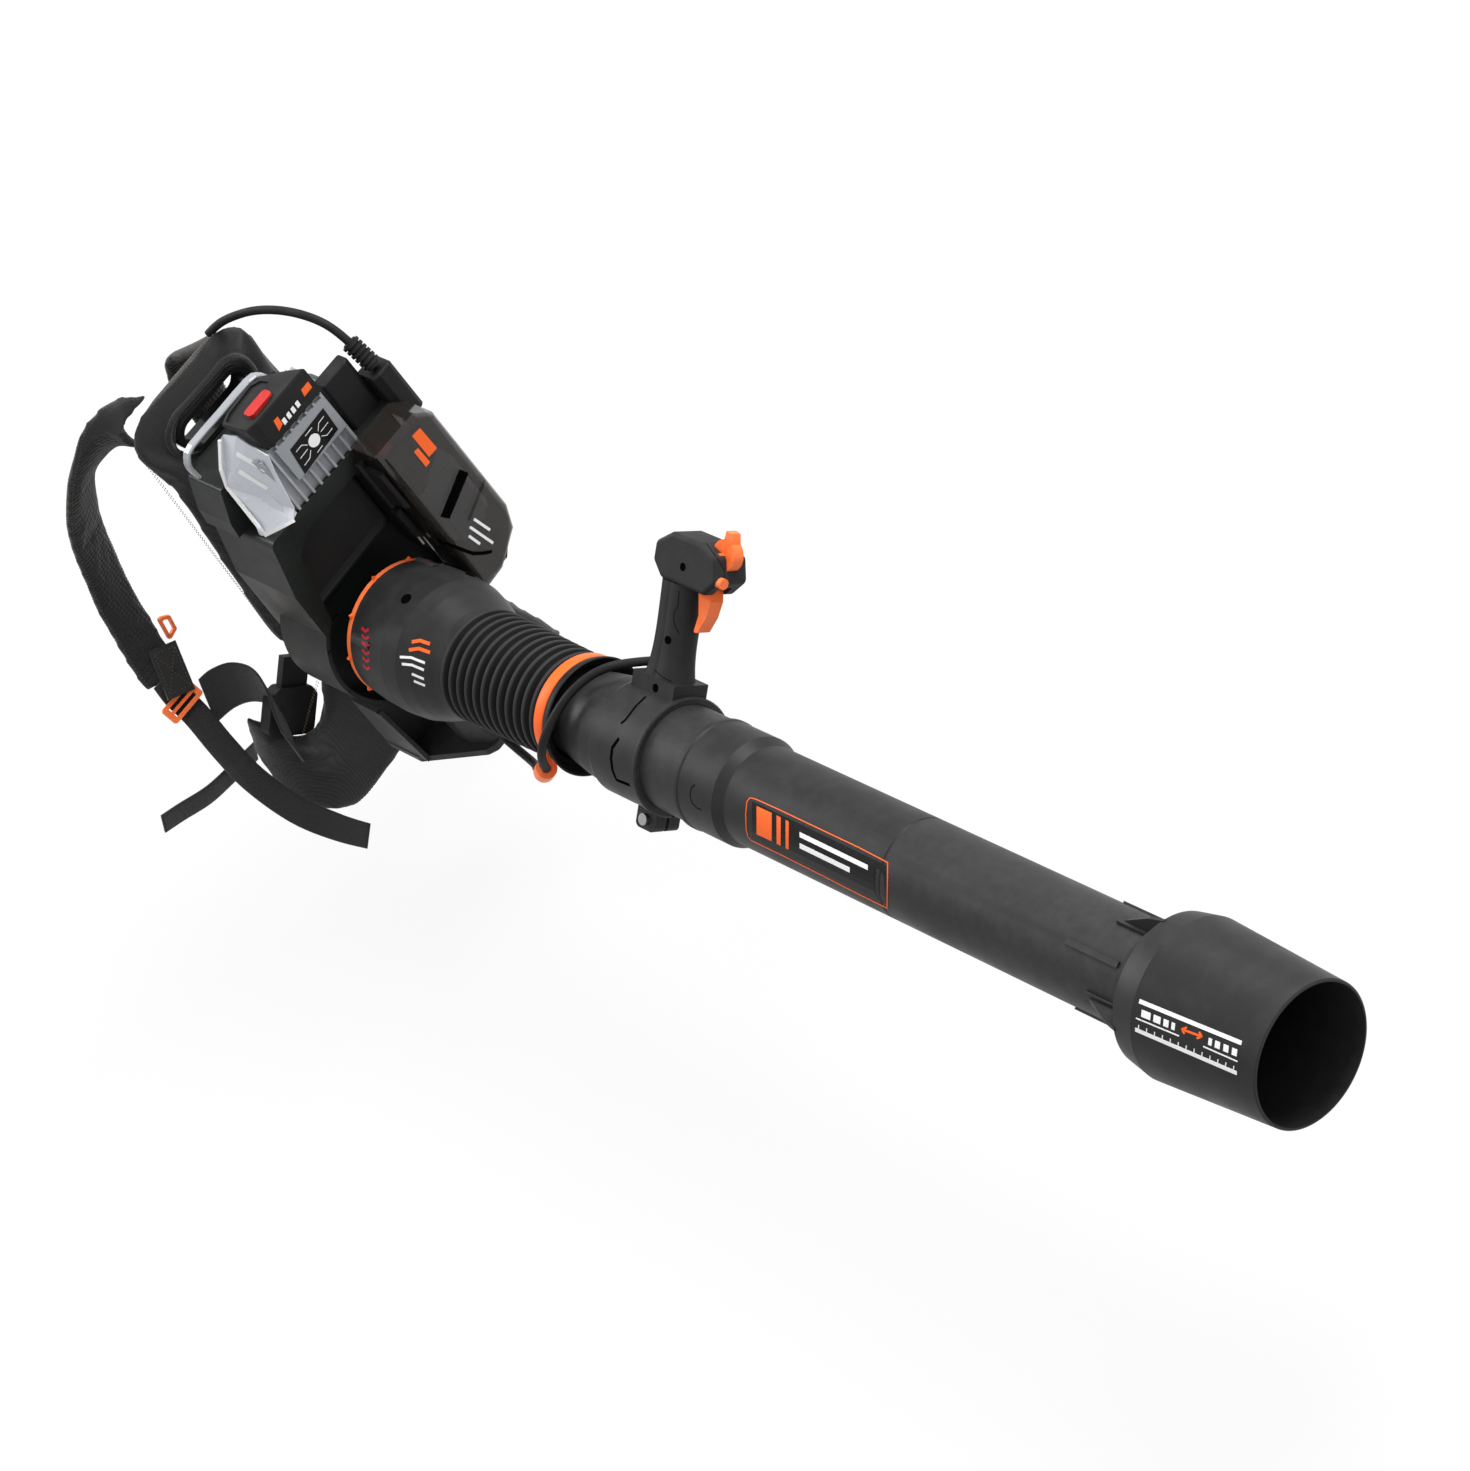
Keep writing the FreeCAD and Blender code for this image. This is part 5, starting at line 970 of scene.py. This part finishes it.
goldThread = newForm()
darkThread = newForm()
smoothed = partial(smoothRow, steps=sewing["steps"])
for name, route in strapRoutes.items():
    threadAlong(goldThread, sewn[name], smoothed([mm(*p) for p in route["path"]]),
                smoothed([Vector(a) for a in route["across"]]), [w / 2000 for w in smoothed(route["widths"])], False)
for name, borders in padEdges.items():
    pairs = list(zip(*[smoothed([mm(*p) for p in border]) for border in borders]))
    threadAlong(goldThread, sewn[name], [(a + b) / 2 for a, b in pairs], [b - a for a, b in pairs],
                [(b - a).length / 2 for a, b in pairs], True)
edgeLine = panelOutline()
for face in (-1, 1):
    addStitches(goldThread, onPanel(edgeLine, face))
settle("edge_thread", goldThread, "thread", "pack")

# A rolled ring of cloth round the carry opening
carryRing = {"middle": (-6, 198), "depth": -13, "straight": 26, "radius": 24.5, "wide": 3.2, "tall": 2.4,
             "segments": 72, "around": 10, "seams": (-5.0, 6.0)}


def stadium(offset):
    spots = []
    half = carryRing["segments"] // 2
    radius = carryRing["radius"] + offset
    for side in (1, -1):
        for k in range(half):
            angle = math.pi * (k / (half - 1) - 0.5)
            spots.append(mm(carryRing["middle"][0] + side * (carryRing["straight"] + radius * math.cos(angle)),
                            carryRing["depth"], carryRing["middle"][1] + side * radius * math.sin(angle)))
    return spots


def makeCarryRing():
    form = newForm()
    rows = onPanel(stadium(0))
    count, around = len(rows), carryRing["around"]
    for i, (point, normal) in enumerate(rows):
        tangent = (rows[(i + 1) % count][0] - rows[i - 1][0]).normalized()
        side = normal.cross(tangent).normalized()
        for k in range(around):
            angle = math.tau * k / around
            form["points"].append(point + side * (carryRing["wide"] / 1000 * math.cos(angle))
                                  + normal * (carryRing["tall"] / 1000 * math.sin(angle)))
        bridge(form["faces"], i * around, (i + 1) % count * around, around)
    settle("carry_ring", form, "cloth", "pack", smooth=True)
    for offset in carryRing["seams"]:
        addStitches(darkThread, onPanel(stadium(offset)), pitch=3.0, length=2.0)


makeCarryRing()
settle("ring_thread", darkThread, "blackThread", "pack")
print("sewing done")

# The faces towards these spots, where the wearer is, are spacer mesh
wearer = {"shoulder_strap_left": (-110, -30, 90), "shoulder_strap_right": (0, -60, 60), "hip_pad_left": (-60, 80, -140),
          "hip_pad_right": (60, 80, -140), "back_panel": (0, 900, 60)}
wearerFacing = 0.42
for name, spot in wearer.items():
    piece = sewn[name]
    piece.data.materials.append(finishes["knit"])
    place = piece.matrix_world
    turn = place.to_3x3()
    for face in piece.data.polygons:
        if (mm(*spot) - place @ face.center).normalized().dot((turn @ face.normal).normalized()) > wearerFacing:
            face.material_index = 1

for name, piece in sewn.items():
    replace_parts(piece, name)
    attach(piece, "pack")

# The hollow beside the battery bay is one smooth dished panel
recess = {
    "outline": [(-83, 58), (-81, 74), (-68, 124), (-60, 131), (-49, 136), (13, 136), (16, 133), (17, 127), (17, 66),
        (12, 61)],
    "levels": [(1.0, -131.0), (1.0, -134.0), (0.985, -134.8), (0.93, -135.0), (0.90, -134.4), (0.80, -133.2),
        (0.5, -132.8)],
}


def makeRecess():
    form = newForm()
    count, levels = len(recess["outline"]), recess["levels"]
    for scale, y in levels:
        form["points"] += [mm(x, y, z) for x, z in shrunk(recess["outline"], scale)]
    last = (len(levels) - 1) * count
    for first in range(0, last, count):
        bridge(form["faces"], first, first + count, count)
    form["faces"].append(tuple(range(count - 1, -1, -1)))
    form["faces"].append(tuple(last + k for k in range(count)))
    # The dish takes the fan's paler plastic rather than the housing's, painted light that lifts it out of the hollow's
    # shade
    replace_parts(settle("recess_dish", form, "fan", "pack"), "recess_panel")


makeRecess()

# The strap's end is folded over the adjuster and sewn down
strapTab = {"from": (161, 646), "to": (181, 695), "width": 27, "lift": 3.4, "sink": 0.6, "steps": 8, "sewInset": 3,
            "sewEnds": (0.1, 0.9)}


def makeStrapTab():
    form, thread = newForm(), newForm()
    start, above = land([sewn["shoulder_strap_left"]], *strapTab["from"])
    end, below = land(carriers("ladder_lock"), *strapTab["to"])
    way = (above + below).normalized()
    rows = [(start.lerp(end, i / strapTab["steps"]), way) for i in range(strapTab["steps"] + 1)]
    addStrip(form, rows, strapTab["width"], strapTab["lift"], strapTab["sink"])
    settle("strap_tab", form, "webbing", "pack")
    side = way.cross(end - start).normalized() * ((strapTab["width"] / 2 - strapTab["sewInset"]) / 1000)
    top = way * (strapTab["lift"] / 1000)
    near, far = [start.lerp(end, share) for share in strapTab["sewEnds"]]
    a, b, c, d = near - side, near + side, far + side, far - side
    for first, last in ((a, b), (b, c), (c, d), (d, a), (a, c), (b, d)):
        addStitches(thread, [(first + top, way), (last + top, way)])
    settle("strap_tab_thread", thread, "thread", "pack")


makeStrapTab()

# Open battery: an angular head, and a clear shell along its left side
batteryHead = {
    "z": (221.3, 223.5, 249.6, 251.3),
    "inset": (0.985, 1.0, 1.0, 0.965),
    "low": [(38, -154.6), (-12, -154.6), (-24.5, -154.6), (-31, -152.5), (-33.5, -128), (-30, -112.5), (16, -112.5),
        (28, -133),
        (38, -146)],
    "high": [(38, -154.8), (-4, -154.8), (-24, -154.8), (-34.6, -151.5), (-38, -120), (-27, -114), (6, -111),
        (18, -119), (31, -140)],
    "well": [(-4, -151), (-26, -151), (-31.5, -147.5), (-34, -122), (-26, -118), (4, -115.5), (12, -121), (14, -130),
        (3, -143)],
    "wellDepth": 1.6,
}
shell = {
    "outline": [(-47.1, -117.5, 240.4), (-42, -117.5, 241.3), (-39, -135.9, 243.3), (-38.6, -146, 235.5),
        (-35.6, -158.7, 222.3),
        (-39.8, -157, 205.2), (-47.4, -156.6, 164.8), (-54.8, -158, 158), (-77, -141.2, 157.4), (-77, -142, 168.2),
        (-68.6, -117.5, 203.5), (-62.8, -117.5, 219.7)],
    "hub": 10, "out": (-0.75, -0.5, 0.42), "thick": 1.6, "rim": (0, 11, 10, 9, 8, 7),
    "bars": (((236.9, 453.5), (266, 470.5)), ((239.2, 471), (267.5, 488.2))),
}


def makeBatteryHead():
    form = newForm()
    count = len(batteryHead["low"])
    for z, inset, corners in zip(batteryHead["z"], batteryHead["inset"], ("low", "low", "high", "high")):
        form["points"] += [mm(x, y, z) for x, y in shrunk(batteryHead[corners], inset)]
    top = batteryHead["z"][-1]
    for z in (top, top - batteryHead["wellDepth"]):
        form["points"] += [mm(x, y, z) for x, y in batteryHead["well"]]
    last = len(form["points"]) - count
    for level in range(last // count):
        bridge(form["faces"], level * count, (level + 1) * count, count, flip=True)
    form["faces"].append(tuple(range(count)))
    form["faces"].append(tuple(last + k for k in range(count - 1, -1, -1)))
    piece = settle("battery_head_shape", form, "dark", "left_battery")
    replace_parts(piece, "left_battery_head")
    return piece


def makeShell():
    form, paintedHighlights = newForm(), newForm()
    out = Vector(shell["out"]).normalized()
    outline, count, hub = [mm(*p) for p in shell["outline"]], len(shell["outline"]), shell["hub"]
    form["points"] = outline + [p - out * (shell["thick"] / 1000) for p in outline]
    for k in range(count):
        n = (k + 1) % count
        if hub not in (k, n):
            form["faces"] += [(hub, k, n), (count + n, count + k, count + hub)]
        form["faces"].append((n, k, count + k, count + n))
    piece = settle("battery_shell", form, "pearl", "left_battery")
    # Painted highlights: a pale strip along part of the shell's edge and two pale bars across it
    addStrip(paintedHighlights, [(outline[k], out) for k in shell["rim"]], width=2.6, lift=1.0, sink=1.6)
    for line in shell["bars"]:
        addStrip(paintedHighlights, lineOnto([piece], line, 3), width=4.2, lift=0.8)
    settle("battery_shell_highlights", paintedHighlights, "white", "left_battery")


headShape = makeBatteryHead()
makeShell()

# Battery: a black panel with traces and a pale dot, two orange tags and a charge gauge
batteryPrint = {
    "panel": ((290, 450), (323, 408), (338, 429), (305, 474)),
    "dot": (0.5, 0.5), "dotRadius": 6.0,
    "traces": (((0.08, 0.22), (0.24, 0.22), (0.34, 0.4)), ((0.08, 0.5), (0.3, 0.5)), ((0.08, 0.78), (0.24, 0.78),
        (0.34, 0.62)),
        ((0.92, 0.22), (0.76, 0.22), (0.66, 0.4)), ((0.92, 0.5), (0.7, 0.5)), ((0.92, 0.78), (0.76, 0.78),
        (0.66, 0.62)),
        ((0.4, 0.12), (0.6, 0.12)), ((0.42, 0.88), (0.58, 0.88))),
    "tags": (((273.6, 421), (277.5, 416.5), (282.5, 424), (279, 431)),
        ((301, 390), (308, 381.5), (312, 387), (304.5, 396.5))),
    "gauge": 4, "gaugeFrom": (281.5, 420.5), "gaugeTo": (299, 398), "gaugeWide": 0.62, "gaugeDown": (3.4, 4.6),
}


# A point of a four-cornered patch, by its shares along and across
def inside(corners, share, rise):
    a, b, c, d = [Vector(corner) for corner in corners]
    return a.lerp(b, share).lerp(d.lerp(c, share), rise)


def makeBatteryPrint():
    case, head, corners = carriers("left_battery_case"), [headShape], batteryPrint["panel"]
    layMarks("battery_panel", "black", "left_battery", case, lift=0.35, plates=[(corners, (2, 2))])
    traces = [([inside(corners, *spot) for spot in trace], 0.55, 2.5) for trace in batteryPrint["traces"]]
    layMarks("battery_traces", "white", "left_battery", case, lift=0.5, strips=traces, segments=32,
             discs=[(inside(corners, *batteryPrint["dot"]), batteryPrint["dotRadius"], 0.6)])
    layMarks("battery_tags", "orange", "left_battery", head, lift=0.25, plates=[(tag, (1,
            1)) for tag in batteryPrint["tags"]])
    start, end = Vector(batteryPrint["gaugeFrom"]), Vector(batteryPrint["gaugeTo"])
    step, down = (end - start) / batteryPrint["gauge"], Vector(batteryPrint["gaugeDown"])
    bars = []
    for number in range(batteryPrint["gauge"]):
        low = start + step * number
        far = low + step * batteryPrint["gaugeWide"]
        bars.append(((low, far, far + down, low + down), (1, 1)))
    layMarks("battery_gauge", "white", "left_battery", head, lift=0.25, plates=bars)


makeBatteryPrint()

# Long tube and nozzle: a bare black panel with an orange outline, rules, an arrow and bars
tubePrint = {
    "panel": ((752, 801), (886, 865.5), (885, 903), (752, 837)),
    "outline": ((888, 862.7), (860, 848), (820, 829), (780, 810), (756, 799.2), (750.3, 797.8), (747.2, 802),
        (746, 814.7),
        (746.6, 830), (748.5, 837), (752, 840.5), (780, 854), (820, 874), (860, 894.6), (887.4, 907.9)),
    "stripes": (((757, 806), (772, 813), (772, 841), (757, 834)), ((777, 815.5), (781, 817.5), (781, 845.5),
        (777, 843.5)),
        ((786, 820), (789, 821.4), (789, 849.4), (786, 848))),
    "bars": (((800, 832), (868, 865), (868, 870), (800, 837)), ((800, 843), (850, 867.5), (850, 872.5), (800, 848))),
}
nozzlePrint = {
    "thickRules": (((1139.4, 1001.1), (1241.7, 1043.1)), ((1135.3, 1029.4), (1237, 1073.2))),
    "thinRules": (((1136.1, 1018.1), (1179.2, 1036)), ((1203.3, 1046.4), (1237.6, 1061.5))),
    "arrow": ((1182, 1029.2), (1202, 1036.6)), "barb": 4.2,
    "blocks": ((1142, 1009.5, 9), (1154, 1014.5, 7), (1164, 1018.7, 5), (1172, 1022, 3.4), (1209, 1037.6, 3.4),
        (1215.5, 1040.3, 5),
        (1224, 1043.9, 5), (1232.5, 1047.5, 5)),
    "blockRise": 0.42, "blockLean": 0.8, "blockHigh": 7, "tickWay": (-0.5, 4.2),
    "ticks": 13, "tickFrom": (1139, 1025), "tickTo": (1234, 1066),
}


def makeTubePrint():
    tube, nozzle = carriers("front_tube", "rear_tube", "neck_tube"), carriers("nozzle")
    outline = tubePrint["outline"] + tubePrint["outline"][:1]
    layMarks("tube_panel", "black", "wand", tube, lift=0.25, plates=[(tubePrint["panel"], (24, 6))])
    layMarks("tube_panel_trim", "orange", "wand", tube, lift=0.45, strips=[(outline, 0.8, 3)],
             plates=[(corners, (2, 5)) for corners in tubePrint["stripes"]])
    layMarks("tube_panel_bars", "white", "wand", tube, lift=0.45, plates=[(bar, (12, 1)) for bar in tubePrint["bars"]])

    rules = [(ends, 3.1, 4) for ends in nozzlePrint["thickRules"]] + [(ends, 1.0,
            4) for ends in nozzlePrint["thinRules"]]
    blocks = []
    for u, v, wide in nozzlePrint["blocks"]:
        far, lean, high = v + wide * nozzlePrint["blockRise"], nozzlePrint["blockLean"], nozzlePrint["blockHigh"]
        blocks.append((((u, v), (u + wide, far), (u + wide - lean, far + high), (u - lean, v + high)), (2, 2)))
    start, end = Vector(nozzlePrint["tickFrom"]), Vector(nozzlePrint["tickTo"])
    for number in range(nozzlePrint["ticks"]):
        spot = start.lerp(end, number / (nozzlePrint["ticks"] - 1))
        rules.append(((spot, spot + Vector(nozzlePrint["tickWay"])), 0.8, 2))
    layMarks("nozzle_scale", "white", "nozzle", nozzle, lift=0.25, plates=blocks, strips=rules)

    a, b = [Vector(spot) for spot in nozzlePrint["arrow"]]
    way = (b - a).normalized() * nozzlePrint["barb"]
    across = Vector((-way.y, way.x)) * 0.8
    lines = (a, b), (a + way + across, a, a + way - across), (b - way + across, b, b - way - across)
    layMarks("nozzle_arrow", "orange", "nozzle", nozzle, lift=0.35, strips=[(line, 1.6, 2) for line in lines])


makeTubePrint()

# Blower housing: red chevrons, strokes like an air stream, and screw holes as near-black discs of painted shade
housingPrint = {
    "badge": ((361, 626.5), (369.5, 628.5), (371, 674.5), (362.5, 670)),
    "chevrons": 6, "chevronStart": 0.15, "chevron": ((0.1, 0), (0.5, 0.07), (0.9, 0)),
    "strokes": ((((412, 642), (420, 640.5), (430, 644)), "orange"), (((409, 650), (419, 648.5), (430, 652.5)),
        "orange"),
        (((400, 657), (411, 657.5), (425, 663)), "white"), (((402, 664), (412, 665), (424, 670)), "white"),
        (((412, 674), (424, 679)), "white"), (((414, 681), (425, 685.5)), "white")),
    "holes": ((406.2, 598.7), (470.4, 575)),
}


def makeHousingPrint():
    fan, badge, chevrons = carriers("fan_housing"), housingPrint["badge"], []
    for number in range(housingPrint["chevrons"]):
        low = (number + housingPrint["chevronStart"]) / housingPrint["chevrons"]
        chevrons.append(([inside(badge, share, low + more) for share, more in housingPrint["chevron"]], 2.4, 2))
    layMarks("housing_badge", "redPrint", "blower", fan, lift=0.3, strips=chevrons)
    for name, finish, width in (("housing_strokes", "orange", 3.0), ("housing_lines", "white", 2.2)):
        strokes = [(line, width, 2) for line, tone in housingPrint["strokes"] if tone == finish]
        layMarks(name, finish, "blower", fan, lift=0.3, strips=strokes)
    layMarks("housing_holes", "paintedShade", "blower", fan, lift=0.15, discs=[(spot, 5.0,
            0.15) for spot in housingPrint["holes"]])


makeHousingPrint()

# Handle and collar: painted shade as near-black screw wells, parting lines, collar groove and edge, and a lock mark
handleMarks = {
    "screws": ((682.8, 566.9), (667.8, 640)), "collarScrew": (655.5, 688),
    "seams": (((679.3, 591), (678.3, 600), (678, 605.7), (674, 612.4), (673.6, 619), (675.5, 627), (679.3, 633.9)),
        ((705.5, 542), (718, 560), (724, 569), (724.8, 590)), ((654, 669), (662, 677), (672, 682))),
    "lockMark": ((695, 784.5), (691.2, 788), (690, 796), (692, 803), (697.5, 808.5), (701.5, 809.5)),
    "collarGroove": ((619, 738.3), (612.3, 747.7), (611, 758.4), (612.5, 770), (616.3, 779.8), (629.7, 785.2)),
    "collarEdge": ((621, 723.6), (625.7, 719.6), (636, 706), (645.8, 696.5)),
}


def makeHandleMarks():
    grip, collar = carriers("grip", "handle_head"), carriers("clamp_collar", "front_tube", "neck_tube", "cuff")
    layMarks("screw_wells", "paintedShade", "handle", grip, lift=0.12, discs=[(spot, 3.4,
            0.12) for spot in handleMarks["screws"]])
    layMarks("grip_seams", "paintedShade", "handle", grip, lift=0.08, strips=[(line, 0.6, 2) for line in handleMarks["seams"]])
    widths = {"lockMark": 0.9, "collarGroove": 3.0, "collarEdge": 2.2}
    grooves = [(handleMarks[name], width, 2) for name, width in widths.items()]
    layMarks("collar_marks", "paintedShade", "wand", collar, lift=0.1, strips=grooves, discs=[(handleMarks["collarScrew"],
            3.6, 0.12)])


makeHandleMarks()

# Smoked cover: painted shade in the finger slot and the joint below it, an orange badge and pale rules
coverMarks = {
    "orange": (((412, 436), (420, 428), (437, 448), (429, 457)),
        ((414, 452), (418, 448), (430, 462), (426, 467))),
    "rules": (((474, 519), (490, 530)), ((470, 527), (493, 543)), ((469, 536), (480, 544))),
    "houseRules": (((406, 514), (444, 562)), ((400, 514), (424, 544))),
    "slot": ((459.6, 469), (468.5, 473), (449.7, 518.6), (440.5, 517)),
    "joint": ((438, 541), (446, 543), (454, 546.5), (466, 551), (473, 553.5), (484, 553), (492, 551.5)),
}


def makeCoverMarks():
    cover = carriers("bay_cover")
    layMarks("cover_slot", "paintedShade", "cover", cover, lift=0.15, plates=[(coverMarks["slot"], (1, 8))],
             strips=[(coverMarks["joint"], 3.2, 3)])
    layMarks("cover_badge", "orange", "cover", cover, lift=0.2, plates=[(corners, (2,
            2)) for corners in coverMarks["orange"]])
    layMarks("cover_rules", "white", "cover", cover, lift=0.2, strips=[(line, 2.4, 3) for line in coverMarks["rules"]])
    layMarks("house_rules", "white", "pack", carriers("dock_housing"), lift=0.2,
             strips=[(line, 1.5, 3) for line in coverMarks["houseRules"]])


makeCoverMarks()
print("print and marks laid")

print("pieces placed")
